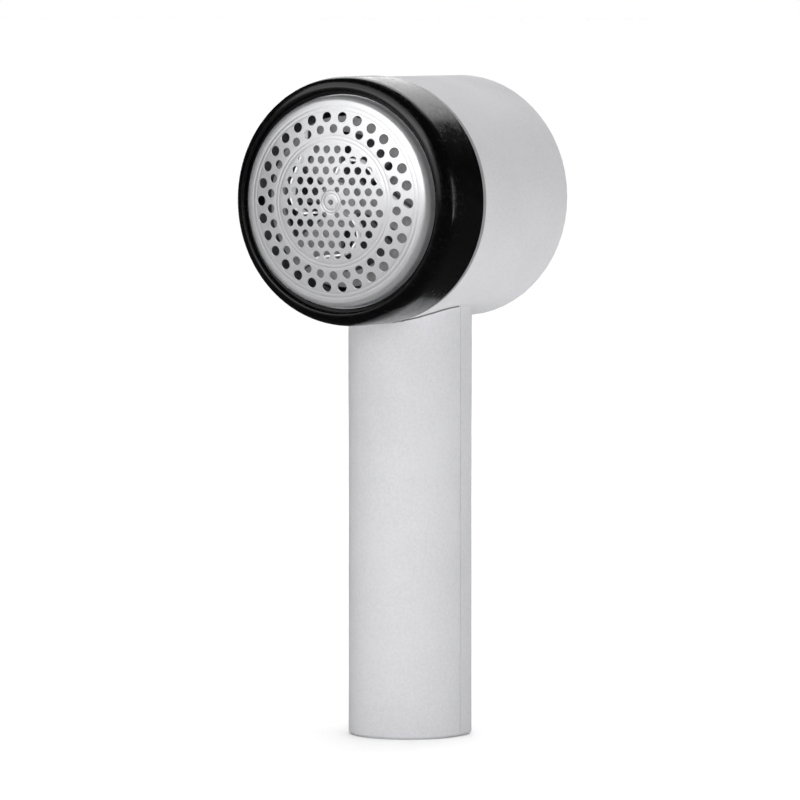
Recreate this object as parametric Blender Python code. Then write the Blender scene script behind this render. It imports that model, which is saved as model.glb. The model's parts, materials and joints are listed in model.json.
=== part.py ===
"""Cordless fabric shaver: a round cutting head on a straight D-section handle.

Frame: +Z up along the handle, the cutting foil faces -Y, the lint bin pulls out along +Y.
The handle's bottom face lies on Z = 0 and the head axis runs along Y at X = 0.
All dimensions are in millimetres.  "depth" is the distance behind the foil's centre.
"""
import math

import bmesh
import bpy
from mathutils import Vector
from mathutils.geometry import delaunay_2d_cdt

MM = 0.001

# Overall layout
OVERALL_DEPTH = 67.0
HEAD_AXIS_Z = 135.2
GAP = 0.3
ROUND_SEGMENTS = 60
SMALL_SEGMENTS = 20
TINY_SEGMENTS = 12
INNER_SEGMENTS = 48
MOTOR_SEGMENTS = 28
ROD_PHASE = 0.23

# Cutting foil
FOIL_THICKNESS = 0.3
FOIL_DOME = 0.0043
FOIL_FACE_R = 24.7
FOIL_ROUND_R = 1.8
FOIL_FLANGE_R = 28.9
FOIL_FLANGE_DEPTH = 6.5
HOLE_PITCH = 3.0
FINE_HOLE_R = 0.96
CENTRE_HOLE_R = 0.72
NEAR_HOLE_R = 0.7
NEAR_HOLE_RING = 1.2 * HOLE_PITCH
INNER_RING_R = 18.1
INNER_RING_HOLE_R = 1.08
OUTER_RING_R = 21.03
OUTER_RING_HOLE_R = 1.26
RING_HOLES = 30
LATTICE_MIN = 1.5 * HOLE_PITCH
LATTICE_MAX = 4.7 * HOLE_PITCH
HOLE_SIDES = 6

# Cover ring, foil retainer and threaded collar
RING_OUTER_R = 30.9
RING_INNER_R = 29.3
RING_LIP_R = 27.4
RING_LEDGE_R = 26.5
RING_REAR_DEPTH = 22.0
RETAINER_INNER_R = 26.6
RETAINER_OUTER_R = 29.0
RETAINER_FRONT_DEPTH = 7.1
RETAINER_REAR_DEPTH = 9.1
COLLAR_OUTER_R = 28.2
COLLAR_INNER_R = 26.2
COLLAR_FRONT_DEPTH = 9.6
COLLAR_REAR_DEPTH = 26.5
BULKHEAD_FRONT_DEPTH = 19.0
BULKHEAD_REAR_DEPTH = 21.0
THREAD_STARTS = 3
THREAD_TURN_DEG = 60.0
THREAD_LIFT = 3.6
THREAD_RIB_R = 29.0
THREAD_RIB_HEIGHT = 1.4
LUG_INNER_R = 28.55
LUG_HEIGHT = 1.6
LUG_WIDTH_DEG = 10.0
LUG_DEPTH = 17.2
KEY_WIDTH_DEG = 9.0
KEY_REAR_DEPTH = 12.6

# Rotating cutter, impeller and shaft
SHAFT_R = 1.0
SHAFT_BORE_R = 1.3
SHAFT_FRONT_DEPTH = 3.4
SHAFT_REAR_DEPTH = 42.0
HUB_R = 5.0
HUB_FRONT_DEPTH = 3.0
HUB_REAR_DEPTH = 9.4
CARRIER_R = 21.2
CARRIER_FRONT_DEPTH = 6.6
CARRIER_REAR_DEPTH = 8.0
WINDOW_INNER_R = 6.8
WINDOW_OUTER_R = 17.2
WINDOW_WIDTH_DEG = 70.0
BLADE_COUNT = 3
BLADE_THICKNESS = 0.5
BLADE_CLEARANCE = 0.35
BLADE_SWEEP = ((208.0, 5.6), (199.0, 9.0), (188.0, 11.4), (174.0, 12.6), (158.0, 13.1),
               (143.0, 13.4), (131.0, 14.6), (122.0, 17.0), (116.0, 20.4))
IMPELLER_R = 20.5
IMPELLER_FRONT_DEPTH = 11.2
IMPELLER_REAR_DEPTH = 16.8
IMPELLER_VANES = 8
IMPELLER_HUB_R = 3.6
VANE_THICKNESS = 1.0

# Motor
MOTOR_R = 12.2
MOTOR_WALL = 1.0
MOTOR_FRONT_DEPTH = 21.3
MOTOR_REAR_DEPTH = 39.4
MOTOR_SCREW_X = 8.0
MAGNET_INNER_R = 9.5
MAGNET_OUTER_R = 10.9
ARMATURE_R = 9.1
SHROUD_INNER_R = 13.9
SHROUD_OUTER_R = 15.1
SHROUD_REAR_DEPTH = 46.5
DUCT_HALF_WIDTH = 3.0
DUCT_FRONT_DEPTH = 31.0
DUCT_REAR_DEPTH = 36.0

# Barrel of the main body
BARREL_R = 30.65
BARREL_BORE_R = 28.5
BARREL_FRONT_DEPTH = 22.6
BARREL_SCREW_R = 23.0
BARREL_SCREW_ANGLES = (90.0, 210.0, 330.0)

# Lint bin
BIN_OUTER_R = 28.1
BIN_INNER_R = 27.1
BIN_FRONT_DEPTH = 44.0
BIN_FLOOR_DEPTH = 60.4
CAP_FRONT_DEPTH = 61.9

# Handle
HANDLE_HALF_WIDTH = 15.1
HANDLE_WALL = 1.8
SEAM_DEPTH = 38.2
HANDLE_REAR_DEPTH = 46.2
HANDLE_CORNER_R = 3.0
BOTTOM_CHAMFER = 0.7
HANDLE_SCREW_HEIGHTS = (12.0, 98.5)
HANDLE_BOSS_R = 2.8
SCREW_HOLE_R = 1.3
SCREW_SHANK_R = 1.0
SCREW_HEAD_R = 2.2

# Battery, circuit boards, switch and socket
CELL_R = 7.0
CELL_DEPTH = 33.2
CELL_BOTTOM_Z = 18.0
CELL_TOP_Z = 66.0
BOARD_FRONT_DEPTH = 38.8
BOARD_REAR_DEPTH = 40.0
BOARD_BOTTOM_Z = 70.0
BOARD_TOP_Z = 94.0
SWITCH_Z = 82.0
SWITCH_TRAVEL = 5.0
STEM_HALF_WIDTH = 2.0
STEM_HALF_HEIGHT = 3.0
SLIDER_HALF_WIDTH = 5.2
SLIDER_HALF_HEIGHT = 6.5
LED_Z = 72.6
SOCKET_DEPTH = 31.0
SOCKET_HALF_WIDTH = 4.6
SOCKET_HALF_THICKNESS = 1.7
SOCKET_HEIGHT = 7.2
WIRE_R = 0.5


# ---------------------------------------------------------------- mesh helpers

def y_at(depth):
    """Y position, in mm, of a plane at the given depth behind the foil's centre."""
    return depth - OVERALL_DEPTH / 2


def new_object(name, bm, origin=(0.0, 0.0, 0.0)):
    """Store a millimetre bmesh as an object whose origin is at the given point."""
    bmesh.ops.recalc_face_normals(bm, faces=bm.faces[:])
    offset = Vector(origin)
    for vertex in bm.verts:
        vertex.co = (vertex.co - offset) * MM
    mesh = bpy.data.meshes.new(name)
    bm.to_mesh(mesh)
    bm.free()
    obj = bpy.data.objects.new(name, mesh)
    obj.location = offset * MM
    bpy.context.scene.collection.objects.link(obj)
    return obj


def head_point(radius, angle_deg, depth):
    """Point at a radius and angle round the head axis; 0 degrees is +X, 90 is up."""
    angle = math.radians(angle_deg)
    return Vector((radius * math.cos(angle), y_at(depth),
                   HEAD_AXIS_Z + radius * math.sin(angle)))


def add_lathe(bm, profile, segments=ROUND_SEGMENTS):
    """Revolve a closed (radius, depth) outline about the head axis into a ring."""
    rings = []
    for radius, depth in profile:
        ring = [bm.verts.new(head_point(radius, 360.0 * i / segments, depth))
                for i in range(segments)]
        rings.append(ring)
    for index, ring in enumerate(rings):
        other = rings[(index + 1) % len(rings)]
        for i in range(segments):
            j = (i + 1) % segments
            bm.faces.new((ring[i], ring[j], other[j], other[i]))


def add_solid_lathe(bm, profile, segments=ROUND_SEGMENTS):
    """Revolve an open outline, front to rear, about the head axis and cap both ends."""
    rings = []
    for radius, depth in profile:
        ring = [bm.verts.new(head_point(radius, 360.0 * i / segments, depth))
                for i in range(segments)]
        rings.append(ring)
    for ring, other in zip(rings, rings[1:]):
        for i in range(segments):
            j = (i + 1) % segments
            bm.faces.new((ring[i], ring[j], other[j], other[i]))
    bm.faces.new(rings[0])
    bm.faces.new(list(reversed(rings[-1])))


def lathe(name, profile, segments=ROUND_SEGMENTS):
    """Ring-shaped object about the head axis."""
    bm = bmesh.new()
    add_lathe(bm, profile, segments)
    return new_object(name, bm)


def solid_lathe(name, profile, segments=ROUND_SEGMENTS):
    """Solid object of revolution about the head axis."""
    bm = bmesh.new()
    add_solid_lathe(bm, profile, segments)
    return new_object(name, bm)


def add_loft(bm, loops):
    """Join equal-length point loops in order and cap the first and the last."""
    rings = [[bm.verts.new(point) for point in loop] for loop in loops]
    count = len(rings[0])
    for ring, other in zip(rings, rings[1:]):
        for i in range(count):
            j = (i + 1) % count
            bm.faces.new((ring[i], ring[j], other[j], other[i]))
    bm.faces.new(rings[0])
    bm.faces.new(list(reversed(rings[-1])))


def loft(name, loops):
    """Object made by joining point loops."""
    bm = bmesh.new()
    add_loft(bm, loops)
    return new_object(name, bm)


def add_box(bm, x_range, depth_range, z_range):
    """Axis-aligned box between two depths."""
    corners = [(x_range[0], y_at(depth_range[0])), (x_range[1], y_at(depth_range[0])),
               (x_range[1], y_at(depth_range[1])), (x_range[0], y_at(depth_range[1]))]
    add_loft(bm, [[(x, y, z) for x, y in corners] for z in z_range])


def box(name, x_range, depth_range, z_range):
    """Box object."""
    bm = bmesh.new()
    add_box(bm, x_range, depth_range, z_range)
    return new_object(name, bm)


def circle_xz(x, z, radius, depth, segments):
    """Circle of points in a plane of constant depth."""
    points = []
    for i in range(segments):
        angle = 2 * math.pi * (i + ROD_PHASE) / segments
        points.append((x + radius * math.cos(angle), y_at(depth),
                       z + radius * math.sin(angle)))
    return points


def add_rod(bm, x, z, stations, segments=TINY_SEGMENTS):
    """Rod along Y through (radius, depth) stations."""
    add_loft(bm, [circle_xz(x, z, radius, depth, segments) for radius, depth in stations])


def rod(name, x, z, stations, segments=TINY_SEGMENTS):
    """Rod object along Y."""
    bm = bmesh.new()
    add_rod(bm, x, z, stations, segments)
    return new_object(name, bm)


def add_post(bm, x, depth, stations, segments=SMALL_SEGMENTS):
    """Upright round post through (radius, z) stations."""
    loops = []
    for radius, z in stations:
        loop = []
        for i in range(segments):
            angle = 2 * math.pi * i / segments
            loop.append((x + radius * math.cos(angle),
                         y_at(depth) + radius * math.sin(angle), z))
        loops.append(loop)
    add_loft(bm, loops)


def post(name, x, depth, stations, segments=SMALL_SEGMENTS):
    """Upright round post object."""
    bm = bmesh.new()
    add_post(bm, x, depth, stations, segments)
    return new_object(name, bm)


def combine(target, tools, operation):
    """Apply an exact Boolean of each tool to the target, then remove the tools."""
    for tool in tools:
        tool.hide_render = True
        tool.display_type = 'WIRE'
        modifier = target.modifiers.new(operation.lower(), 'BOOLEAN')
        modifier.operation = operation
        modifier.solver = 'EXACT'
        modifier.object = tool
        bpy.context.view_layer.update()
        graph = bpy.context.evaluated_depsgraph_get()
        mesh = bpy.data.meshes.new_from_object(target.evaluated_get(graph))
        target.modifiers.clear()
        old = target.data
        target.data = mesh
        mesh.name = target.name
        bpy.data.meshes.remove(old)
    for tool in tools:
        bpy.data.objects.remove(tool, do_unlink=True)
    return target


def tidy(obj):
    """Drop doubled points and slivers left by the Booleans."""
    bm = bmesh.new()
    bm.from_mesh(obj.data)
    bmesh.ops.remove_doubles(bm, verts=bm.verts[:], dist=0.005 * MM)
    bmesh.ops.dissolve_degenerate(bm, dist=0.002 * MM, edges=bm.edges[:])
    bmesh.ops.dissolve_limit(bm, angle_limit=math.radians(0.05), verts=bm.verts[:],
                             edges=bm.edges[:])
    bmesh.ops.triangulate(bm, faces=bm.faces[:])
    bmesh.ops.recalc_face_normals(bm, faces=bm.faces[:])
    bm.to_mesh(obj.data)
    bm.free()
    return obj


def arc_sector(name, inner_r, outer_r, centre_deg, width_deg, front_depth, rear_depth):
    """Curved block between two radii and two angles round the head axis."""
    steps = 2 * int(math.ceil(width_deg / 12.0)) + 1
    angles = [centre_deg - width_deg / 2 + width_deg * i / steps for i in range(steps + 1)]
    loops = []
    for depth in (front_depth, rear_depth):
        outer = [head_point(outer_r, angle, depth) for angle in angles]
        inner = [head_point(inner_r, angle, depth) for angle in reversed(angles)]
        loops.append(outer + inner)
    return loft(name, loops)


def helix_bar(name, inner_r, outer_r, start_deg, end_deg, start_depth, end_depth, height):
    """Bar that follows a helix round the head axis, centred on the stated depths."""
    steps = 2 * int(math.ceil(abs(end_deg - start_deg) / 12.0)) + 1
    loops = []
    for i in range(steps + 1):
        share = i / steps
        angle = start_deg + (end_deg - start_deg) * share
        depth = start_depth + (end_depth - start_depth) * share
        loops.append([head_point(inner_r, angle, depth - height / 2),
                      head_point(outer_r, angle, depth - height / 2),
                      head_point(outer_r, angle, depth + height / 2),
                      head_point(inner_r, angle, depth + height / 2)])
    return loft(name, loops)


def wire(name, points):
    """Insulated lead: a square-section tube through the stated (x, depth, z) points."""
    path = [Vector((x, y_at(depth), z)) for x, depth, z in points]
    loops = []
    for index, point in enumerate(path):
        before = path[max(index - 1, 0)]
        after = path[min(index + 1, len(path) - 1)]
        tangent = (after - before).normalized()
        side = tangent.cross(Vector((0.31, 0.17, 0.93)))
        if side.length < 0.2:
            side = tangent.cross(Vector((1.0, 0.0, 0.0)))
        side.normalize()
        lift = tangent.cross(side).normalized()
        loop = []
        for i in range(6):
            angle = math.pi * i / 3
            loop.append(point + side * (WIRE_R * math.cos(angle))
                        + lift * (WIRE_R * math.sin(angle)))
        loops.append(loop)
    return loft(name, loops)


# ---------------------------------------------------------------- cutting foil

def foil_depth(radius):
    """Depth of the foil's domed front surface at a radius."""
    return FOIL_DOME * radius * radius


def foil_holes():
    """(x, z, radius) of every hole in the foil, measured from its centre."""
    holes = [(0.0, 0.0, CENTRE_HOLE_R)]
    for i in range(6):
        angle = math.radians(60.0 * i)
        holes.append((NEAR_HOLE_RING * math.cos(angle), NEAR_HOLE_RING * math.sin(angle),
                      NEAR_HOLE_R))
    reach = int(LATTICE_MAX / HOLE_PITCH) + 2
    for row in range(-reach, reach + 1):
        for column in range(-2 * reach, 2 * reach + 1):
            x = (column + 0.5 * row) * HOLE_PITCH
            z = row * HOLE_PITCH * math.sqrt(3) / 2
            distance = math.hypot(x, z)
            if LATTICE_MIN < distance < LATTICE_MAX:
                holes.append((x, z, FINE_HOLE_R))
    for i in range(RING_HOLES):
        step = 360.0 / RING_HOLES
        for radius, hole_r, offset in ((INNER_RING_R, INNER_RING_HOLE_R, step / 2),
                                       (OUTER_RING_R, OUTER_RING_HOLE_R, 0.0)):
            angle = math.radians(step * i + offset)
            holes.append((radius * math.cos(angle), radius * math.sin(angle), hole_r))
    return holes


def foil_plan():
    """Flat triangulation of the perforated disc: points, triangles and hole loops."""
    points = []
    edges = []
    loops = []
    holes = foil_holes()
    for x, z, hole_r in holes:
        start = len(points)
        turn = math.atan2(z, x)
        for i in range(HOLE_SIDES):
            angle = turn + 2 * math.pi * i / HOLE_SIDES
            points.append(Vector((x + hole_r * math.cos(angle), z + hole_r * math.sin(angle))))
        loops.append(list(range(start, start + HOLE_SIDES)))
    start = len(points)
    for i in range(ROUND_SEGMENTS):
        angle = 2 * math.pi * i / ROUND_SEGMENTS
        points.append(Vector((FOIL_FACE_R * math.cos(angle), FOIL_FACE_R * math.sin(angle))))
    rim = list(range(start, start + ROUND_SEGMENTS))
    for loop in loops + [rim]:
        for i, index in enumerate(loop):
            edges.append((index, loop[(i + 1) % len(loop)]))
    flat, _, faces, _, _, _ = delaunay_2d_cdt(points, edges, [], 0, 1e-6)
    triangles = []
    for face in faces:
        centre = sum((flat[i] for i in face), Vector((0.0, 0.0))) / 3
        inside = any((centre - Vector((x, z))).length < hole_r * 0.8 for x, z, hole_r in holes)
        if not inside:
            triangles.append(tuple(face))
    return flat, triangles, loops, rim


def foil_edge_profile():
    """(radius, depth) outline of the rounded edge, wall and flange, then the inside."""
    slope = math.atan(2 * FOIL_DOME * FOIL_FACE_R)
    centre_r = FOIL_FACE_R - FOIL_ROUND_R * math.sin(slope)
    centre_depth = foil_depth(FOIL_FACE_R) + FOIL_ROUND_R * math.cos(slope)
    turns = [math.radians(angle) for angle in (32.0, 56.0, 90.0)]
    outside = [(centre_r + FOIL_ROUND_R * math.sin(turn),
                centre_depth - FOIL_ROUND_R * math.cos(turn)) for turn in turns]
    bend = FOIL_ROUND_R - FOIL_THICKNESS
    inside = [(centre_r + bend * math.sin(turn), centre_depth - bend * math.cos(turn))
              for turn in reversed(turns)]
    rear = FOIL_FLANGE_DEPTH + FOIL_THICKNESS
    flange = [(outside[-1][0], FOIL_FLANGE_DEPTH), (FOIL_FLANGE_R, FOIL_FLANGE_DEPTH),
              (FOIL_FLANGE_R, rear), (inside[0][0], rear)]
    return outside + flange + inside


def make_cutting_foil():
    """Domed perforated foil with a short wall and a clamping flange."""
    flat, triangles, loops, rim = foil_plan()
    bm = bmesh.new()
    front = []
    back = []
    on_rim = set(rim)
    for index, point in enumerate(flat):
        radius = point.length
        front.append(bm.verts.new((point.x, y_at(foil_depth(radius)), HEAD_AXIS_Z + point.y)))
        share = 1.0
        if index in on_rim:
            share = (radius - FOIL_THICKNESS) / radius
        back.append(bm.verts.new((point.x * share,
                                  y_at(foil_depth(radius * share) + FOIL_THICKNESS),
                                  HEAD_AXIS_Z + point.y * share)))
    for a, b, c in triangles:
        bm.faces.new((front[a], front[b], front[c]))
        bm.faces.new((back[c], back[b], back[a]))
    for loop in loops:
        for i, index in enumerate(loop):
            other = loop[(i + 1) % len(loop)]
            bm.faces.new((front[index], front[other], back[other], back[index]))
    outside = foil_edge_profile()
    previous = [front[i] for i in rim]
    count = len(rim)
    for radius, depth in outside:
        ring = [bm.verts.new(head_point(radius, 360.0 * i / count, depth))
                for i in range(count)]
        for i in range(count):
            j = (i + 1) % count
            bm.faces.new((previous[i], previous[j], ring[j], ring[i]))
        previous = ring
    last = [back[i] for i in rim]
    for i in range(count):
        j = (i + 1) % count
        bm.faces.new((previous[i], previous[j], last[j], last[i]))
    return new_object("cutting_foil", bm)


# ---------------------------------------------------------------- cover

def thread_depth(angle_from_lug):
    """Depth of the lug's path after the ring has turned by an angle."""
    return LUG_DEPTH - THREAD_LIFT * angle_from_lug / THREAD_TURN_DEG


def make_cover_ring():
    """Glossy screw ring with a rounded front bead, an inner lip and three lugs."""
    profile = [(RING_OUTER_R, RING_REAR_DEPTH), (RING_OUTER_R, 8.6), (30.75, 7.2),
               (30.4, 5.9), (29.85, 4.9), (29.15, 4.2), (28.5, 3.95), (27.95, 4.1),
               (27.6, 4.5), (RING_LIP_R, 5.1), (RING_LIP_R - 0.1, 5.5), (RING_LEDGE_R, 5.6),
               (RING_LEDGE_R, FOIL_FLANGE_DEPTH - GAP),
               (RING_INNER_R, FOIL_FLANGE_DEPTH - GAP), (RING_INNER_R, RING_REAR_DEPTH)]
    ring = lathe("cover_ring", profile)
    lugs = []
    for i in range(THREAD_STARTS):
        angle = 360.0 / THREAD_STARTS * i
        share = LUG_WIDTH_DEG / 2
        lugs.append(helix_bar("lug", LUG_INNER_R, RING_INNER_R + 0.6, angle - share,
                              angle + share, thread_depth(-share), thread_depth(share),
                              LUG_HEIGHT))
    return tidy(combine(ring, lugs, 'UNION'))


def make_foil_retainer():
    """Ring behind the foil's flange, with three keys that slide in the collar's notches."""
    profile = [(RETAINER_OUTER_R, RETAINER_FRONT_DEPTH), (RETAINER_OUTER_R, RETAINER_REAR_DEPTH),
               (RETAINER_INNER_R, RETAINER_REAR_DEPTH), (RETAINER_INNER_R, RETAINER_FRONT_DEPTH)]
    ring = lathe("foil_retainer", profile, INNER_SEGMENTS)
    keys = []
    for i in range(THREAD_STARTS):
        angle = 360.0 / THREAD_STARTS * i + 60.0
        keys.append(arc_sector("key", RETAINER_INNER_R + 0.1, COLLAR_OUTER_R - 0.1, angle,
                               KEY_WIDTH_DEG - 1.6, RETAINER_REAR_DEPTH - 0.5, KEY_REAR_DEPTH))
    return tidy(combine(ring, keys, 'UNION'))


def make_front_collar():
    """Threaded collar with the bulkhead that carries the motor and lets the lint through."""
    profile = [(COLLAR_OUTER_R, COLLAR_FRONT_DEPTH), (COLLAR_OUTER_R, COLLAR_REAR_DEPTH),
               (COLLAR_INNER_R, COLLAR_REAR_DEPTH), (COLLAR_INNER_R, BULKHEAD_REAR_DEPTH),
               (3.4, BULKHEAD_REAR_DEPTH), (3.4, BULKHEAD_FRONT_DEPTH),
               (COLLAR_INNER_R, BULKHEAD_FRONT_DEPTH), (COLLAR_INNER_R, COLLAR_FRONT_DEPTH)]
    collar = lathe("front_collar", profile, INNER_SEGMENTS)
    ribs = []
    rib_offset = LUG_HEIGHT / 2 + GAP + THREAD_RIB_HEIGHT / 2
    for i in range(THREAD_STARTS):
        angle = 360.0 / THREAD_STARTS * i
        first = -LUG_WIDTH_DEG * 0.53
        last = THREAD_TURN_DEG - LUG_WIDTH_DEG / 2
        ribs.append(helix_bar("rib", COLLAR_OUTER_R - 0.6, THREAD_RIB_R, angle + first,
                              angle + last, thread_depth(first) - rib_offset,
                              thread_depth(last) - rib_offset, THREAD_RIB_HEIGHT))
    combine(collar, ribs, 'UNION')
    cuts = []
    for i in range(THREAD_STARTS):
        angle = 360.0 / THREAD_STARTS * i + 60.0
        cuts.append(arc_sector("notch", COLLAR_INNER_R - 1.0, THREAD_RIB_R + 1.0, angle,
                               KEY_WIDTH_DEG, COLLAR_FRONT_DEPTH - 1.0, KEY_REAR_DEPTH + 0.5))
    for i in range(6):
        cuts.append(arc_sector("vent", 16.4, 25.0, 60.0 * i, 34.0,
                               BULKHEAD_FRONT_DEPTH - 1.0, BULKHEAD_REAR_DEPTH + 1.0))
    for angle in BARREL_SCREW_ANGLES:
        point = head_point(BARREL_SCREW_R, angle, 0.0)
        cuts.append(rod("hole", point.x, point.z,
                        [(SCREW_HOLE_R, BULKHEAD_FRONT_DEPTH - 1.0),
                         (SCREW_HOLE_R, BULKHEAD_REAR_DEPTH + 1.0)]))
    for side in (-1, 1):
        cuts.append(rod("hole", side * MOTOR_SCREW_X, HEAD_AXIS_Z,
                        [(SCREW_HOLE_R, BULKHEAD_FRONT_DEPTH - 1.0),
                         (SCREW_HOLE_R, BULKHEAD_REAR_DEPTH + 1.0)]))
    return tidy(combine(collar, cuts, 'DIFFERENCE'))


# ---------------------------------------------------------------- rotor

def make_blade_hub():
    """Moulded carrier disc with a boss and one window beside each blade."""
    profile = [(HUB_R, HUB_FRONT_DEPTH), (HUB_R, CARRIER_FRONT_DEPTH),
               (CARRIER_R, CARRIER_FRONT_DEPTH), (CARRIER_R, CARRIER_REAR_DEPTH),
               (HUB_R, CARRIER_REAR_DEPTH), (HUB_R, HUB_REAR_DEPTH),
               (SHAFT_BORE_R, HUB_REAR_DEPTH), (SHAFT_BORE_R, HUB_FRONT_DEPTH)]
    hub = lathe("blade_hub", profile, INNER_SEGMENTS)
    windows = []
    for i in range(BLADE_COUNT):
        angle = (i + 0.5) * 360.0 / BLADE_COUNT
        windows.append(arc_sector("window", WINDOW_INNER_R, WINDOW_OUTER_R, angle,
                                  WINDOW_WIDTH_DEG, CARRIER_FRONT_DEPTH - 1.0,
                                  CARRIER_REAR_DEPTH + 1.0))
    return tidy(combine(hub, windows, 'DIFFERENCE'))


def radial_block(name, angle_deg, inner_r, outer_r, offset, width, front_depth, rear_depth):
    """Straight block along a radius, shifted sideways by an offset."""
    angle = math.radians(angle_deg)
    along = Vector((math.cos(angle), 0.0, math.sin(angle)))
    across = Vector((-math.sin(angle), 0.0, math.cos(angle)))
    centre = Vector((0.0, 0.0, HEAD_AXIS_Z))
    loops = []
    for radius in (inner_r, outer_r):
        loop = []
        for side, depth in ((-0.5, front_depth), (0.5, front_depth), (0.5, rear_depth),
                            (-0.5, rear_depth)):
            point = centre + along * radius + across * (offset + side * width)
            point.y = y_at(depth)
            loop.append(point)
        loops.append(loop)
    return loft(name, loops)


def make_blade(number):
    """Sickle-shaped upright blade whose front edge follows the underside of the foil."""
    turn = (number - 1) * 360.0 / BLADE_COUNT
    path = [head_point(radius, angle + turn, 0.0) for angle, radius in BLADE_SWEEP]
    loops = []
    for index, point in enumerate(path):
        tangent = path[min(index + 1, len(path) - 1)] - path[max(index - 1, 0)]
        across = Vector((-tangent.z, 0.0, tangent.x)).normalized() * (BLADE_THICKNESS / 2)
        radius = BLADE_SWEEP[index][1]
        front = y_at(foil_depth(radius) + FOIL_THICKNESS + BLADE_CLEARANCE)
        rear = y_at(CARRIER_FRONT_DEPTH - GAP)
        loop = []
        for side, y in ((across, front), (-across, front), (-across, rear), (across, rear)):
            loop.append(Vector((point.x + side.x, y, point.z + side.z)))
        loops.append(loop)
    return loft("blade_%d" % number, loops)


def make_hub_spring():
    """Coil spring on the shaft that presses the cutter towards the foil."""
    coil_r = 2.3
    strand_r = 0.3
    turns = 1.5
    steps = 18
    first = HUB_REAR_DEPTH + 0.5
    last = IMPELLER_FRONT_DEPTH - 0.5
    loops = []
    for i in range(steps + 1):
        share = i / steps
        angle = 2 * math.pi * turns * share
        out = Vector((math.cos(angle), 0.0, math.sin(angle)))
        centre = out * coil_r + Vector((0.0, y_at(first + (last - first) * share), HEAD_AXIS_Z))
        loop = []
        for j in range(6):
            phase = math.pi * j / 3
            loop.append(centre + out * (strand_r * math.cos(phase))
                        + Vector((0.0, strand_r * math.sin(phase), 0.0)))
        loops.append(loop)
    return loft("hub_spring", loops)


def make_impeller():
    """Suction impeller: a hub with flat radial vanes behind the cutter."""
    loops = []
    for depth in (IMPELLER_FRONT_DEPTH, IMPELLER_REAR_DEPTH):
        loop = []
        for i in range(IMPELLER_VANES):
            angle = 360.0 * i / IMPELLER_VANES
            root = math.degrees(math.asin(VANE_THICKNESS / 2 / IMPELLER_HUB_R))
            tip = math.degrees(math.asin(VANE_THICKNESS / 2 / IMPELLER_R))
            loop.append(head_point(IMPELLER_HUB_R, angle - root, depth))
            loop.append(head_point(IMPELLER_R, angle - tip, depth))
            loop.append(head_point(IMPELLER_R, angle + tip, depth))
            loop.append(head_point(IMPELLER_HUB_R, angle + root, depth))
            loop.append(head_point(IMPELLER_HUB_R, angle + 180.0 / IMPELLER_VANES, depth))
        loops.append(loop)
    wheel = loft("impeller", loops)
    bore = solid_lathe("bore", [(SHAFT_BORE_R, 5.0), (SHAFT_BORE_R, 25.0)], TINY_SEGMENTS)
    return tidy(combine(wheel, [bore], 'DIFFERENCE'))


def make_armature():
    """Three-pole laminated armature."""
    bm = bmesh.new()
    loops = []
    for depth in (25.0, 35.6):
        loop = []
        for pole in range(3):
            base = 120.0 * pole + 90.0
            for angle, radius in ((-42.0, ARMATURE_R), (-21.0, ARMATURE_R), (0.0, ARMATURE_R),
                                  (21.0, ARMATURE_R), (42.0, ARMATURE_R), (42.0, 7.6),
                                  (16.0, 7.2), (34.0, 3.4)):
                loop.append(head_point(radius, base + angle, depth))
            loop.append(head_point(3.4, base + 86.0, depth))
            loop.append(head_point(7.2, base + 104.0, depth))
            loop.append(head_point(7.6, base + 78.0, depth))
        loops.append(loop)
    add_loft(bm, loops)
    core = new_object("armature", bm)
    bore = solid_lathe("bore", [(SHAFT_BORE_R, 20.0), (SHAFT_BORE_R, 45.0)], TINY_SEGMENTS)
    return tidy(combine(core, [bore], 'DIFFERENCE'))


# ---------------------------------------------------------------- motor

def make_motor_can():
    """Drawn steel motor can with a bearing nose at the front."""
    profile = [(2.95, 19.4), (2.95, MOTOR_FRONT_DEPTH), (MOTOR_R - 0.8, MOTOR_FRONT_DEPTH),
               (MOTOR_R, MOTOR_FRONT_DEPTH + 0.8), (MOTOR_R, MOTOR_REAR_DEPTH),
               (MOTOR_R - MOTOR_WALL, MOTOR_REAR_DEPTH),
               (MOTOR_R - MOTOR_WALL, MOTOR_FRONT_DEPTH + 1.2), (2.3, MOTOR_FRONT_DEPTH + 1.2),
               (2.3, 19.4)]
    can = lathe("motor_can", profile, MOTOR_SEGMENTS)
    holes = []
    for side in (-1, 1):
        holes.append(rod("hole", side * MOTOR_SCREW_X, HEAD_AXIS_Z,
                         [(SCREW_HOLE_R, MOTOR_FRONT_DEPTH - 0.5),
                          (SCREW_HOLE_R, MOTOR_FRONT_DEPTH + 1.9)]))
    return tidy(combine(can, holes, 'DIFFERENCE'))


def make_motor_end_cap():
    """Moulded cap that closes the rear of the motor can."""
    front = MOTOR_REAR_DEPTH - 1.4
    rear = MOTOR_REAR_DEPTH + 2.6
    flange = MOTOR_REAR_DEPTH + GAP
    profile = [(MOTOR_R - MOTOR_WALL - 0.2, front), (MOTOR_R - MOTOR_WALL - 0.2, flange),
               (MOTOR_R - 0.2, flange), (MOTOR_R - 0.2, rear - 0.6),
               (MOTOR_R - 0.8, rear), (2.9, rear), (2.9, front)]
    return lathe("motor_end_cap", profile, MOTOR_SEGMENTS)


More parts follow.
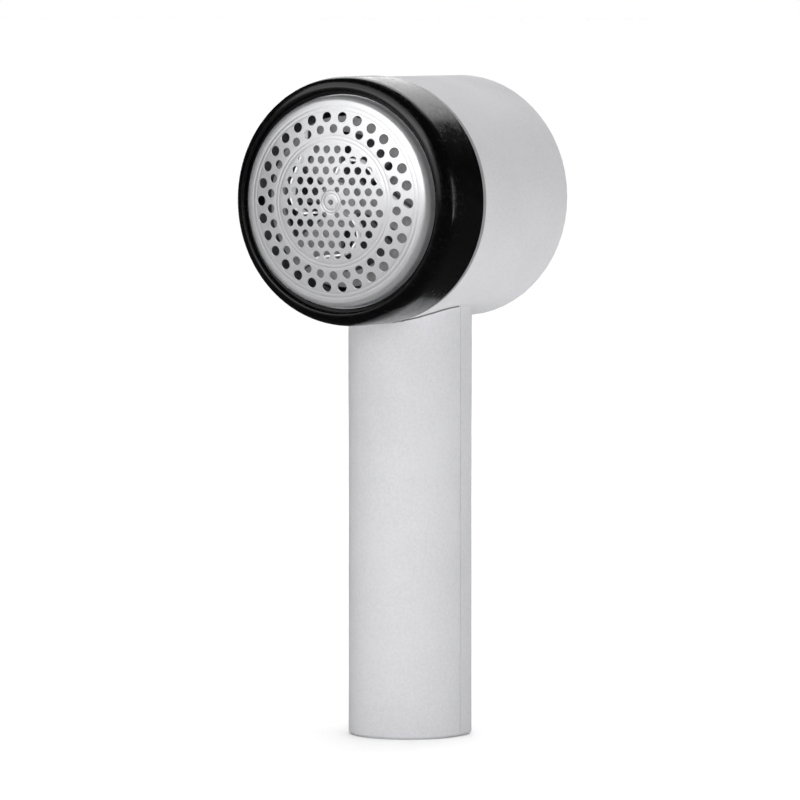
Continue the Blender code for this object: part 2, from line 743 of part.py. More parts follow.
def make_motor_shroud():
    """Closed cup round the motor that keeps lint off it, with a duct for the leads."""
    profile = [(SHROUD_OUTER_R, MOTOR_FRONT_DEPTH), (SHROUD_OUTER_R, SHROUD_REAR_DEPTH)]
    shroud = solid_lathe("motor_shroud", profile, 40)
    floor_z = HEAD_AXIS_Z - BARREL_BORE_R + 0.6
    duct = box("duct", (-DUCT_HALF_WIDTH, DUCT_HALF_WIDTH), (DUCT_FRONT_DEPTH, DUCT_REAR_DEPTH),
               (floor_z, HEAD_AXIS_Z - SHROUD_INNER_R - 0.1))
    combine(shroud, [duct], 'UNION')
    inside = solid_lathe("inside", [(SHROUD_INNER_R, MOTOR_FRONT_DEPTH - 1.0),
                                    (SHROUD_INNER_R, SHROUD_REAR_DEPTH - 1.2)], 40)
    wall = 0.9
    bore = box("bore", (-DUCT_HALF_WIDTH + wall, DUCT_HALF_WIDTH - wall),
               (DUCT_FRONT_DEPTH + wall, DUCT_REAR_DEPTH - wall),
               (floor_z - 1.0, HEAD_AXIS_Z - SHROUD_INNER_R + 2.0))
    return tidy(combine(shroud, [inside, bore], 'DIFFERENCE'))


def make_magnet(name, centre_deg):
    """Arc magnet inside the motor can."""
    obj = arc_sector(name, MAGNET_INNER_R, MAGNET_OUTER_R, centre_deg, 132.0, 24.4, 36.4)
    return obj


# ---------------------------------------------------------------- screws

def make_screw(name, x, z, head_front, head_rear, tip_depth):
    """Pan-head screw along Y with a cross recess; it may point either way."""
    sign = 1.0 if tip_depth > head_front else -1.0
    bm = bmesh.new()
    add_rod(bm, x, z, [(SCREW_HEAD_R - 0.5, head_front), (SCREW_HEAD_R, head_front + 0.35 * sign),
                       (SCREW_HEAD_R, head_rear), (SCREW_SHANK_R, head_rear),
                       (SCREW_SHANK_R, tip_depth - 1.0 * sign), (0.3, tip_depth)])
    screw = new_object(name, bm)
    depths = sorted((head_front - sign, head_front + 0.7 * sign))
    recess = [box("slot", (x - 1.3, x + 1.3), depths, (z - 0.25, z + 0.25)),
              box("slot", (x - 0.25, x + 0.25), depths, (z - 1.3, z + 1.3))]
    return tidy(combine(screw, recess, 'DIFFERENCE'))


# ---------------------------------------------------------------- handle and barrel

def rear_outline(inset, front_depth):
    """Rear half of the handle's D section: square with rounded corners."""
    half = HANDLE_HALF_WIDTH - inset
    rear = HANDLE_REAR_DEPTH - inset
    corner = max(HANDLE_CORNER_R - inset, 0.6)
    points = [(-half, y_at(front_depth)), (half, y_at(front_depth))]
    steps = 5
    for i in range(steps + 1):
        angle = math.radians(90.0 * i / steps)
        points.append((half - corner + corner * math.cos(angle),
                       y_at(rear - corner) + corner * math.sin(angle)))
    for i in range(steps + 1):
        angle = math.radians(90.0 + 90.0 * i / steps)
        points.append((-half + corner + corner * math.cos(angle),
                       y_at(rear - corner) + corner * math.sin(angle)))
    return points


def front_outline(inset, rear_depth):
    """Front half of the handle's D section: a half round."""
    radius = HANDLE_HALF_WIDTH - inset
    steps = 20
    points = []
    for i in range(steps + 1):
        angle = math.radians(180.0 + 180.0 * i / steps)
        points.append((radius * math.cos(angle), y_at(SEAM_DEPTH) + radius * math.sin(angle)))
    points = [(x, min(y, y_at(rear_depth))) for x, y in points]
    return points


def chamfered_prism(name, outline, top_z):
    """Upright prism with a small chamfer round its bottom edge."""
    loops = [[(x, y, 0.0) for x, y in outline(BOTTOM_CHAMFER)],
             [(x, y, BOTTOM_CHAMFER) for x, y in outline(0.0)],
             [(x, y, top_z) for x, y in outline(0.0)]]
    return loft(name, loops)


def make_main_body():
    """One moulding: the barrel of the head and the rear half of the handle."""
    wall = [(BARREL_BORE_R, BARREL_FRONT_DEPTH), (29.5, BARREL_FRONT_DEPTH), (30.35, 23.5),
            (BARREL_R, 24.0), (BARREL_R, 65.2), (30.42, 65.85), (29.85, 66.3), (29.1, 66.5),
            (BARREL_BORE_R, 66.5)]
    body = lathe("main_body", wall)
    seam = SEAM_DEPTH + GAP / 2
    back = chamfered_prism("back", lambda inset: rear_outline(inset, seam), 116.0)
    middle_r = (BARREL_R + BARREL_BORE_R) / 2
    trim = solid_lathe("trim", [(middle_r, 10.0), (middle_r, 80.0)])
    cavity = loft("cavity", [[(x, y, z) for x, y in rear_outline(HANDLE_WALL, seam - 1.0)]
                             for z in (HANDLE_WALL, 103.0)])
    combine(back, [trim, cavity], 'DIFFERENCE')
    combine(body, [back], 'UNION')
    combine(body, body_bosses(seam), 'UNION')
    return tidy(combine(body, body_cuts(seam), 'DIFFERENCE'))


def body_bosses(seam):
    """Screw bosses inside the barrel and inside the handle."""
    bosses = []
    for angle in BARREL_SCREW_ANGLES:
        point = head_point(BARREL_SCREW_R, angle, 0.0)
        bosses.append(rod("boss", point.x, point.z,
                          [(2.7, BULKHEAD_REAR_DEPTH + GAP), (2.7, 31.0)]))
        bosses.append(radial_block("web", angle, BARREL_SCREW_R + 1.5, BARREL_BORE_R + 0.9, 0.0,
                                   2.4, COLLAR_REAR_DEPTH + GAP, 30.6))
    for height in HANDLE_SCREW_HEIGHTS:
        bosses.append(rod("boss", 0.0, height,
                          [(HANDLE_BOSS_R, seam + 0.1), (HANDLE_BOSS_R, HANDLE_REAR_DEPTH - 1.0)],
                          16))
    return bosses


def body_cuts(seam):
    """Holes through the main body for screws, leads, the switch stem and the light."""
    cuts = []
    for angle in BARREL_SCREW_ANGLES:
        point = head_point(BARREL_SCREW_R, angle, 0.0)
        cuts.append(rod("hole", point.x, point.z, [(SCREW_HOLE_R, 20.0), (SCREW_HOLE_R, 29.6)]))
    for height in HANDLE_SCREW_HEIGHTS:
        cuts.append(rod("hole", 0.0, height, [(SCREW_HOLE_R, seam - 1.0), (SCREW_HOLE_R, 47.0)]))
        cuts.append(rod("seat", 0.0, height, [(SCREW_HEAD_R + 0.35, HANDLE_REAR_DEPTH - 2.1),
                                              (SCREW_HEAD_R + 0.35, 47.0)], 16))
    cuts.append(box("lead_way", (-3.4, 3.4), (DUCT_FRONT_DEPTH - 0.4, DUCT_REAR_DEPTH + 0.4),
                    (102.0, HEAD_AXIS_Z - BARREL_BORE_R + 3.0)))
    cuts.append(box("stem_way", (-STEM_HALF_WIDTH - GAP, STEM_HALF_WIDTH + GAP), (42.0, 48.0),
                    (SWITCH_Z - STEM_HALF_HEIGHT - GAP,
                     SWITCH_Z + STEM_HALF_HEIGHT + SWITCH_TRAVEL + GAP)))
    cuts.append(rod("light_way", 0.0, LED_Z, [(1.5, 42.0), (1.5, 48.0)]))
    return cuts


def make_handle_cover():
    """Half-round front shell of the handle, saddle-cut to fit under the barrel."""
    seam = SEAM_DEPTH - GAP / 2
    cover = chamfered_prism("handle_cover", lambda inset: front_outline(inset, seam), 116.0)
    inside = loft("inside", [[(x, y, z) for x, y in hollow_outline()]
                             for z in (HANDLE_WALL, 130.0)])
    saddle = solid_lathe("saddle", [(BARREL_R + GAP, 5.0), (BARREL_R + GAP, 80.0)])
    combine(cover, [inside, saddle], 'DIFFERENCE')
    bosses = []
    for height in HANDLE_SCREW_HEIGHTS:
        bosses.append(rod("boss", 0.0, height, [(HANDLE_BOSS_R, 24.0), (HANDLE_BOSS_R, seam)], 16))
    combine(cover, bosses, 'UNION')
    cuts = []
    for height in HANDLE_SCREW_HEIGHTS:
        cuts.append(rod("hole", 0.0, height, [(SCREW_HOLE_R, 28.0), (SCREW_HOLE_R, 40.0)]))
    cuts.append(box("socket_way", (-SOCKET_HALF_WIDTH - GAP, SOCKET_HALF_WIDTH + GAP),
                    (SOCKET_DEPTH - SOCKET_HALF_THICKNESS - GAP,
                     SOCKET_DEPTH + SOCKET_HALF_THICKNESS + GAP), (-1.0, 3.0)))
    return tidy(combine(cover, cuts, 'DIFFERENCE'))


def hollow_outline():
    """Half-round hollow of the handle cover, open past the seam."""
    radius = HANDLE_HALF_WIDTH - HANDLE_WALL
    points = []
    steps = 20
    for i in range(steps + 1):
        angle = math.radians(180.0 + 180.0 * i / steps)
        points.append((radius * math.cos(angle), y_at(SEAM_DEPTH) + radius * math.sin(angle)))
    points.append((radius, y_at(SEAM_DEPTH + 2.0)))
    points.append((-radius, y_at(SEAM_DEPTH + 2.0)))
    return points


# ---------------------------------------------------------------- lint bin

def make_bin_cup():
    """Open-fronted cup that collects the lint."""
    outer = [(BIN_OUTER_R, BIN_FRONT_DEPTH), (BIN_OUTER_R, BIN_FLOOR_DEPTH + 1.2)]
    cup = solid_lathe("bin_cup", outer)
    hollow = solid_lathe("hollow", [(BIN_INNER_R, BIN_FRONT_DEPTH - 1.0),
                                    (BIN_INNER_R, BIN_FLOOR_DEPTH - 1.5),
                                    (BIN_INNER_R - 1.5, BIN_FLOOR_DEPTH)])
    return tidy(combine(cup, [hollow], 'DIFFERENCE'))


def make_bin_cap():
    """Rear cap of the bin with a finger bar between two scoops."""
    outline = [(BIN_OUTER_R - 0.4, CAP_FRONT_DEPTH), (BIN_OUTER_R, CAP_FRONT_DEPTH + 0.4),
               (BIN_OUTER_R, 66.0), (27.6, 66.5), (26.6, 66.85), (25.0, OVERALL_DEPTH)]
    cap = solid_lathe("bin_cap", outline)
    scoops = []
    for side in (-1, 1):
        scoops.append(scoop("scoop", side))
    return tidy(combine(cap, scoops, 'DIFFERENCE'))


def scoop(name, side):
    """Half-moon finger recess beside the cap's grip bar."""
    loops = []
    for depth, reach, inner in ((68.0, 17.5, 3.0), (66.0, 16.9, 3.0), (62.9, 14.0, 3.2)):
        loop = []
        steps = 12
        first = math.degrees(math.acos(inner / reach))
        for i in range(steps + 1):
            angle = -first + 2 * first * i / steps
            point = head_point(reach, angle, depth)
            point.x *= side
            loop.append(point)
        loops.append(loop)
    return loft(name, loops)


def make_bin_seal():
    """Rubber ring clipped in front of the bin's mouth."""
    return lathe("bin_seal", [(28.1, 42.3), (28.1, 43.7), (26.9, 43.7), (26.9, 42.3)],
                 INNER_SEGMENTS)


# ---------------------------------------------------------------- battery and electronics

def make_battery_tray():
    """Half-round tray that holds the cell in the handle cover."""
    bm = bmesh.new()
    loops = []
    for z in (CELL_BOTTOM_Z - 1.6, CELL_TOP_Z + 1.6):
        loop = []
        for radius, order in ((8.05, 1), (7.25, -1)):
            angles = [180.0 + 180.0 * i / 12 for i in range(13)][::order]
            for angle in angles:
                rad = math.radians(angle)
                loop.append((radius * math.cos(rad), y_at(CELL_DEPTH) + radius * math.sin(rad), z))
        loops.append(loop)
    add_loft(bm, loops)
    return new_object("battery_tray", bm)


def make_battery_cell():
    """Cylindrical rechargeable cell with a raised positive end."""
    return post("battery_cell", 0.0, CELL_DEPTH,
                [(CELL_R - 0.4, CELL_BOTTOM_Z), (CELL_R, CELL_BOTTOM_Z + 0.4),
                 (CELL_R, CELL_TOP_Z - 1.2), (CELL_R - 0.4, CELL_TOP_Z - 0.8),
                 (2.6, CELL_TOP_Z - 0.8), (2.6, CELL_TOP_Z)], 24)


def make_contact(name, low_z):
    """Nickel contact strip at one end of the cell."""
    return box(name, (-2.4, 2.4), (CELL_DEPTH - 4.0, CELL_DEPTH + 4.0), (low_z, low_z + 0.4))


def make_main_board():
    """Circuit board behind the switch."""
    return box("main_board", (-10.5, 10.5), (BOARD_FRONT_DEPTH, BOARD_REAR_DEPTH),
               (BOARD_BOTTOM_Z, BOARD_TOP_Z))


def make_switch_body():
    """Slide switch on the board, with a channel for the stem."""
    low = SWITCH_Z - STEM_HALF_HEIGHT - 2.4
    high = SWITCH_Z + STEM_HALF_HEIGHT + SWITCH_TRAVEL + 2.4
    body = box("switch_body", (-4.2, 4.2), (BOARD_REAR_DEPTH + 0.2, 43.9), (low, high))
    channel = box("channel", (-STEM_HALF_WIDTH - GAP, STEM_HALF_WIDTH + GAP), (41.6, 45.0),
                  (low + 1.8, high - 1.8))
    return tidy(combine(body, [channel], 'DIFFERENCE'))


def make_switch_slider():
    """Thumb slider with grip ridges and a stem through the handle wall."""
    cap = loft("switch_slider", [rounded_plate(0.0, 46.5), rounded_plate(0.0, 47.9),
                                 rounded_plate(0.7, 48.5)])
    stem = box("stem", (-STEM_HALF_WIDTH, STEM_HALF_WIDTH), (42.2, 47.0),
               (SWITCH_Z - STEM_HALF_HEIGHT, SWITCH_Z + STEM_HALF_HEIGHT))
    ridges = [stem]
    for i in range(-2, 3):
        z = SWITCH_Z + 2.1 * i
        ridges.append(box("ridge", (-3.6, 3.6), (48.0, 49.1), (z - 0.5, z + 0.5)))
    return tidy(combine(cap, ridges, 'UNION'))


def rounded_plate(inset, depth):
    """Rounded rectangle in a plane of constant depth, centred on the switch."""
    half_x = SLIDER_HALF_WIDTH - inset
    half_z = SLIDER_HALF_HEIGHT - inset
    corner = 1.8 - inset
    points = []
    for cx, cz, start in ((half_x - corner, half_z - corner, 0.0),
                          (-half_x + corner, half_z - corner, 90.0),
                          (-half_x + corner, -half_z + corner, 180.0),
                          (half_x - corner, -half_z + corner, 270.0)):
        for i in range(5):
            angle = math.radians(start + 22.5 * i)
            points.append((cx + corner * math.cos(angle), y_at(depth),
                           SWITCH_Z + cz + corner * math.sin(angle)))
    return points


def make_indicator():
    """Light pipe for the charging lamp."""
    return rod("indicator_light", 0.0, LED_Z, [(1.9, BOARD_REAR_DEPTH + 0.3), (1.9, 43.9),
                                               (1.2, 44.1), (1.2, 46.1), (0.8, 46.4)])


def make_charging_socket():
    """Metal charging socket: a flat sleeve with a contact tongue."""
    sleeve = box("charging_socket", (-SOCKET_HALF_WIDTH, SOCKET_HALF_WIDTH),
                 (SOCKET_DEPTH - SOCKET_HALF_THICKNESS, SOCKET_DEPTH + SOCKET_HALF_THICKNESS),
                 (0.3, SOCKET_HEIGHT))
    wall = 0.35
    hollow = box("hollow", (-SOCKET_HALF_WIDTH + wall, SOCKET_HALF_WIDTH - wall),
                 (SOCKET_DEPTH - SOCKET_HALF_THICKNESS + wall,
                  SOCKET_DEPTH + SOCKET_HALF_THICKNESS - wall), (-1.0, SOCKET_HEIGHT - 0.8))
    combine(sleeve, [hollow], 'DIFFERENCE')
    tongue = box("tongue", (-3.3, 3.3), (SOCKET_DEPTH - 0.35, SOCKET_DEPTH + 0.35),
                 (1.2, SOCKET_HEIGHT - 0.4))
    return tidy(combine(sleeve, [tongue], 'UNION'))


def make_charge_board():
    """Small board that carries the charging socket."""
    return box("charge_board", (-6.5, 6.5), (SOCKET_DEPTH - 4.2, SOCKET_DEPTH + 5.2),
               (SOCKET_HEIGHT + 0.2, SOCKET_HEIGHT + 1.2))


def make_terminal(name, x):
    """Brass solder tab on the motor's end cap."""
    return box(name, (x - 1.1, x + 1.1), (42.2, 44.6), (HEAD_AXIS_Z - 6.2, HEAD_AXIS_Z - 5.7))


def make_wires():
    """Leads from the cell, the charging board and the switch board to the motor."""
    run_z = HEAD_AXIS_Z - (MOTOR_R + SHROUD_INNER_R) / 2
    parts = []
    for name, side in (("motor_wire_red", -1), ("motor_wire_black", 1)):
        parts.append(wire(name, [(side * 4.2, 37.9, 88.0), (side * 4.2, 36.6, 91.5),
                                 (side * 4.0, 34.6, 95.0), (side * 3.6, 33.6, 99.0),
                                 (side * 1.25, 33.5, 104.5), (side * 1.25, 33.5, 112.0),
                                 (side * 1.25, 33.5, run_z - 0.6), (side * 1.25, 34.3, run_z),
                                 (side * 1.25, 42.6, run_z), (side * 1.7, 43.5, run_z + 0.7),
                                 (side * 5.4, 43.6, HEAD_AXIS_Z - 8.6),
                                 (side * 5.4, 43.6, HEAD_AXIS_Z - 7.0)]))
    parts.append(wire("cell_wire_red", [(0.0, 36.4, CELL_TOP_Z + 1.5), (3.0, 37.6, CELL_TOP_Z + 2.6),
                                        (5.2, 38.0, CELL_TOP_Z + 4.6), (6.2, 38.0, 74.0)]))
    parts.append(wire("cell_wire_black", [(-2.0, 36.4, 16.0), (-6.0, 38.6, 15.6),
                                          (-9.6, 39.4, 18.0), (-10.2, 39.0, 26.0),
                                          (-10.2, 38.4, 48.0), (-9.6, 37.6, 66.0),
                                          (-7.6, 37.6, 74.0)]))
    parts.append(wire("charge_wire", [(5.4, 34.0, SOCKET_HEIGHT + 2.0), (7.6, 36.4, 12.0),
                                      (9.8, 38.6, 18.0), (10.2, 38.6, 30.0), (10.2, 38.2, 52.0),
                                      (9.6, 37.6, 66.0), (8.6, 37.6, 74.0)]))
    return parts


# ---------------------------------------------------------------- materials

def make_material(name, colour, roughness, metallic, alpha=1.0):
    """Principled surface."""
    material = bpy.data.materials.new(name)
    material.use_nodes = True
    shader = material.node_tree.nodes["Principled BSDF"]
    shader.inputs["Base Color"].default_value = (colour[0], colour[1], colour[2], 1.0)
    shader.inputs["Roughness"].default_value = roughness
    shader.inputs["Metallic"].default_value = metallic
    shader.inputs["Alpha"].default_value = alpha
    material.diffuse_color = (colour[0], colour[1], colour[2], alpha)
    return material


SURFACES = {
    "white_shell": ((0.78, 0.78, 0.79), 0.55, 0.0),
    "white_bin_cap": ((0.76, 0.76, 0.77), 0.55, 0.0),
    "black_gloss": ((0.012, 0.012, 0.013), 0.12, 0.0),
    "black_moulding": ((0.03, 0.03, 0.032), 0.5, 0.0),
    "grey_moulding": ((0.42, 0.43, 0.44), 0.5, 0.0),
    "smoke_plastic": ((0.32, 0.33, 0.35), 0.25, 0.0),
    "foil_steel": ((0.74, 0.75, 0.76), 0.28, 1.0),
    "blade_steel": ((0.6, 0.61, 0.63), 0.2, 1.0),
    "zinc_steel": ((0.55, 0.56, 0.58), 0.35, 1.0),
    "armature_iron": ((0.3, 0.3, 0.31), 0.5, 0.8),
    "brass_metal": ((0.72, 0.55, 0.25), 0.3, 1.0),
    "magnet_ferrite": ((0.06, 0.055, 0.055), 0.75, 0.0),
    "seal_rubber": ((0.05, 0.05, 0.05), 0.85, 0.0),
    "cell_wrap": ((0.1, 0.28, 0.5), 0.35, 0.0),
    "board_green": ((0.02, 0.18, 0.07), 0.45, 0.0),
    "lamp_clear": ((0.75, 0.2, 0.15), 0.2, 0.0),
    "lead_red": ((0.5, 0.03, 0.02), 0.5, 0.0),
    "lead_black": ((0.02, 0.02, 0.02), 0.5, 0.0),
    "grey_slider": ((0.1, 0.1, 0.105), 0.45, 0.0),
}


def paint(obj, slot):
    """Give an object its own copy of a named surface."""
    colour, roughness, metallic = SURFACES[slot]
    obj.data.materials.clear()
    obj.data.materials.append(make_material(slot + "_" + obj.name, colour, roughness, metallic))


# ---------------------------------------------------------------- assembly

def build_cover():
    """Parts that come away with the screw ring."""
    paint(make_cover_ring(), "black_gloss")
    paint(make_cutting_foil(), "foil_steel")
    paint(make_foil_retainer(), "black_moulding")


def build_rotor():
    """Parts that spin with the motor shaft."""
    paint(solid_lathe("motor_shaft", [(SHAFT_R - 0.2, SHAFT_FRONT_DEPTH),
                                      (SHAFT_R, SHAFT_FRONT_DEPTH + 0.3),
                                      (SHAFT_R, SHAFT_REAR_DEPTH - 0.3),
                                      (SHAFT_R - 0.2, SHAFT_REAR_DEPTH)], TINY_SEGMENTS),
          "zinc_steel")
    paint(make_blade_hub(), "black_moulding")
    for number in range(1, BLADE_COUNT + 1):
        paint(make_blade(number), "blade_steel")
    paint(make_hub_spring(), "zinc_steel")
    paint(make_impeller(), "grey_moulding")
    paint(make_armature(), "armature_iron")
    paint(lathe("commutator", [(3.1, 36.2), (3.1, 37.7), (SHAFT_BORE_R, 37.7),
                               (SHAFT_BORE_R, 36.2)], TINY_SEGMENTS), "brass_metal")


def build_motor():
    """Fixed parts of the motor and its shroud."""
    paint(make_motor_can(), "zinc_steel")
    paint(make_motor_end_cap(), "black_moulding")
    paint(make_magnet("magnet_upper", 90.0), "magnet_ferrite")
    paint(make_magnet("magnet_lower", 270.0), "magnet_ferrite")
    paint(lathe("bush_front", [(2.05, 19.7), (2.05, 22.3), (SHAFT_BORE_R, 22.3),
                               (SHAFT_BORE_R, 19.7)], TINY_SEGMENTS), "brass_metal")
    paint(lathe("bush_rear", [(2.6, 38.3), (2.6, 41.6), (SHAFT_BORE_R, 41.6),
                              (SHAFT_BORE_R, 38.3)], TINY_SEGMENTS), "brass_metal")
    paint(make_terminal("terminal_left", -5.4), "brass_metal")
    paint(make_terminal("terminal_right", 5.4), "brass_metal")
    paint(make_motor_shroud(), "grey_moulding")


def build_screws():
    """Every screw in the shaver."""
    for number, angle in enumerate(BARREL_SCREW_ANGLES, start=1):
        point = head_point(BARREL_SCREW_R, angle, 0.0)
        paint(make_screw("collar_screw_%d" % number, point.x, point.z, 17.4, 18.8, 28.6),
              "zinc_steel")
    for name, side in (("motor_screw_left", -1), ("motor_screw_right", 1)):
        paint(make_screw(name, side * MOTOR_SCREW_X, HEAD_AXIS_Z, 17.4, 18.8, 23.6),
              "zinc_steel")
    for name, height in zip(("handle_screw_lower", "handle_screw_upper"), HANDLE_SCREW_HEIGHTS):
        paint(make_screw(name, 0.0, height, HANDLE_REAR_DEPTH - 0.4, HANDLE_REAR_DEPTH - 1.8, 29.5),
              "zinc_steel")


def build_handle():
    """Shells, battery, boards, socket and leads."""
    paint(make_main_body(), "white_shell")
    paint(make_handle_cover(), "white_shell")
    paint(make_front_collar(), "grey_moulding")
    paint(make_battery_tray(), "black_moulding")
    paint(make_battery_cell(), "cell_wrap")
    paint(make_contact("contact_lower", CELL_BOTTOM_Z - 0.7), "zinc_steel")
    paint(make_contact("contact_upper", CELL_TOP_Z + 0.3), "zinc_steel")
    paint(make_main_board(), "board_green")
    paint(make_switch_body(), "black_moulding")
    paint(make_indicator(), "lamp_clear")
    paint(make_charging_socket(), "zinc_steel")
    paint(make_charge_board(), "board_green")
    for lead in make_wires():
        paint(lead, "lead_red" if "red" in lead.name else "lead_black")


def build_bin():
    """Parts that pull out with the lint bin."""
    paint(make_bin_cup(), "smoke_plastic")
    paint(make_bin_cap(), "white_bin_cap")
    paint(make_bin_seal(), "seal_rubber")


def main():
    """Clear the scene and build every part."""
    for obj in list(bpy.data.objects):
        bpy.data.objects.remove(obj, do_unlink=True)
    build_cover()
    build_rotor()
    build_motor()
    build_screws()
    build_handle()
    build_bin()
    paint(make_switch_slider(), "grey_slider")


main()
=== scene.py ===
"""Looks of the cordless fabric shaver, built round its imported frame.

Frame: metres, +Z up along the handle, the cutting foil faces -Y and the lint bin pulls out
along +Y.  Sizes below are in millimetres; "depth" is the distance behind the foil's centre.
"""

import json
import math

import bmesh
import bpy
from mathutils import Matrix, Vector
from mathutils.geometry import delaunay_2d_cdt


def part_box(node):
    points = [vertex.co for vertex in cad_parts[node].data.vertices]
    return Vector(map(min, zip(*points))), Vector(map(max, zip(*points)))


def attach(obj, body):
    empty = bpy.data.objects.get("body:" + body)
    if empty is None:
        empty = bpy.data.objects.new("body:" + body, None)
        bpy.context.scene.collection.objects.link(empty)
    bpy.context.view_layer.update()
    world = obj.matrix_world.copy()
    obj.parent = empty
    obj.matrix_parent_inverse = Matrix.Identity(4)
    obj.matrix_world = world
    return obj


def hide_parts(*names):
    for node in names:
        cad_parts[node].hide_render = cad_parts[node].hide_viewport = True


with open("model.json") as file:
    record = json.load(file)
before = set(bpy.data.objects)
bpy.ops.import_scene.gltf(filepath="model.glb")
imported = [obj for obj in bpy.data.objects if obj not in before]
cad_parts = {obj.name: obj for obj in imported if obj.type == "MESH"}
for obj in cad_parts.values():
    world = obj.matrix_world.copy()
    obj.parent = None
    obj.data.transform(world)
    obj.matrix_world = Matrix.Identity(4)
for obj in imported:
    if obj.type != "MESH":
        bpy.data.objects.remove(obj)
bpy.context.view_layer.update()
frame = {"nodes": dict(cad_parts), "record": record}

MM = 0.001
FOIL_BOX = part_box("cutting_foil")
RING_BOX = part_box("cover_ring")
HEAD_Z = (FOIL_BOX[0].z + FOIL_BOX[1].z) / 2
FOIL_Y = FOIL_BOX[0].y
RING_R = (RING_BOX[1].x - RING_BOX[0].x) / 2 / MM
RING_REAR = (RING_BOX[1].y - FOIL_Y) / MM

# Camera
CAMERA_DISTANCE = 1.5
CAMERA_SIDE_DEG = 30.828
CAMERA_RISE_DEG = 1.863
LOOK_HEADING_DEG = -30.174
LOOK_PITCH_DEG = -3.721
LENS = 274.28
SENSOR_WIDTH = 36.0

# Foil
FOIL_DOME = 0.0043
FOIL_THICKNESS = 0.15
FOIL_FACE_R = 24.7
FOIL_ROUND_R = 1.8
ROUND_STEPS = 8
FOIL_FLANGE_R = 28.9
FOIL_FLANGE_DEPTH = 6.5
FLANGE_CHAMFER = 0.12
FOIL_SHARP_DEG = 24.0
HOLE_PITCH = 3.0
CENTRE_HOLE_R = 0.69
NEAR_HOLES = 6
NEAR_HOLE_R = 0.68
NEAR_HOLE_RING = 1.2 * HOLE_PITCH
FINE_HOLE_R = 0.95
FIELD_ROWS = 6
FIELD_COLUMNS = 12
FIELD_MIN_R = 1.5 * HOLE_PITCH
FIELD_MAX_R = 4.7 * HOLE_PITCH
INNER_RING_R = 18.1
INNER_RING_HOLE_R = 1.07
OUTER_RING_R = 21.03
OUTER_RING_HOLE_R = 1.24
RING_HOLES = 30
HOLE_SIDES = 28
BURR_WIDTH = 0.06
BURR_DEPTH = 0.035
RIM_SEGMENTS = 240
# (radius, half width, depth) of each pressed circle
PRESSED_CIRCLES = ((2.07, 0.09, 0.03), (2.74, 0.07, 0.03), (15.4, 0.17, 0.035),
                   (16.3, 0.17, 0.035), (22.6, 0.17, 0.035), (23.6, 0.17, 0.035))
CIRCLE_LOOPS = (-1.0, -0.5, 0.0, 0.5, 1.0)
SMALL_CIRCLE_R = 5.0
SMALL_CIRCLE_SEGMENTS = 64

# Net of points between the foil's holes and circles
NET_SPACING = 0.75
NET_ROW_SHARE = 0.87
NET_SPAN = 25.0
NET_MAX_R = 24.0
HOLE_CLEARANCE = 0.2
CIRCLE_CLEARANCE = 0.15
RIM_LOOP_INSET = 0.5
IN_HOLE_SHARE = 0.985
POINT_TOLERANCE = 1e-7

# Cover ring
RING_SEGMENTS = 240
RING_SHARP_DEG = 26.0
RING_CHAMFER = 0.12
RING_SIDE_DEPTH = 9.0
RING_LIP_R = 27.4
RING_BORE_R = 29.3
RING_BORE_CHAMFER = 0.3
# (radius, depth) points of the front bead, from the side to the inner lip
RING_BEAD = ((RING_R, 8.6), (30.75, 7.2), (30.4, 5.95), (29.9, 5.1), (29.3, 4.55),
             (28.75, 4.2), (28.25, 3.98), (27.9, 4.0), (27.62, 4.3), (27.45, 4.7),
             (RING_LIP_R, 5.1))
BEAD_STEPS = 5
LEDGE_R = 26.5
LEDGE_REAR_DEPTH = 6.2
# (radius, depth) points of the ledge between the lip and the foil
RING_LEDGE = ((RING_LIP_R - 0.05, 5.4), (LEDGE_R + 0.15, 5.55), (LEDGE_R, 5.7),
              (LEDGE_R, LEDGE_REAR_DEPTH))

# Thread lugs inside the ring
LUG_COUNT = 3
LUG_HALF_DEG = 5.0
LUG_STEPS = 8
LUG_DEPTH = 17.5
LUG_RISE = 0.6
LUG_TAPER = 0.25
LUG_CREST_R = 28.55
LUG_CREST_HALF = 0.7
LUG_SHOULDER_R = 28.7
LUG_ROOT_R = 29.4
LUG_HALF = 0.8

# (radius, depth) outline of the grey ring behind the cover ring, painted shade for the gap
# there
GAP_SHADE_PROFILE = ((29.6, 22.2), (30.5, 22.2), (30.6, 22.3), (30.6, 23.8), (29.6, 23.8))

# Ranges of the strips behind the handle's side seams, and a box's faces
STRIP_X = (12.3, 13.15)
STRIP_DEPTH = (36.9, 39.5)
STRIP_HEIGHT = (2.3, 102.8)
STRIP_FACES = ((0, 1, 3, 2), (4, 6, 7, 5), (0, 4, 5, 1), (2, 3, 7, 6), (0, 2, 6, 4),
               (1, 5, 7, 3))

# Edges
SHARP_DEG = 30.0
WELD_DISTANCE = 0.002
BEVEL_DEG = 34.0
BEVEL_SEGMENTS = 2
NORMAL_WEIGHT = 80
USUAL_SOFTENING = 0.08
EDGE_SOFTENING = {"main_body": 0.12, "handle_cover": 0.12, "bin_cap": 0.3, "switch_slider": 0.2,
                  "battery_cell": 0.2, "blade_hub": 0.15}

# Depths between which a blade goes from its bright ground cutting edge to dark steel; the
# bright edge also glows, a painted highlight
BLADE_BAND = (3.9, 4.5)
BLADE_BAND_WANDER = 1.2
# Strength of the painted glow on the blades' bright edges
BLADE_PAINTED_GLOW = 0.3


# ---------------------------------------------------------------- mesh helpers

def y_at(depth):
    """Y, in metres, of a plane at a depth in mm behind the foil's centre."""
    return FOIL_Y + depth * MM


def head_point(radius, angle, depth):
    """Point in metres at a radius in mm and an angle in radians round the head axis."""
    return Vector((radius * MM * math.cos(angle), y_at(depth),
                   HEAD_Z + radius * MM * math.sin(angle)))


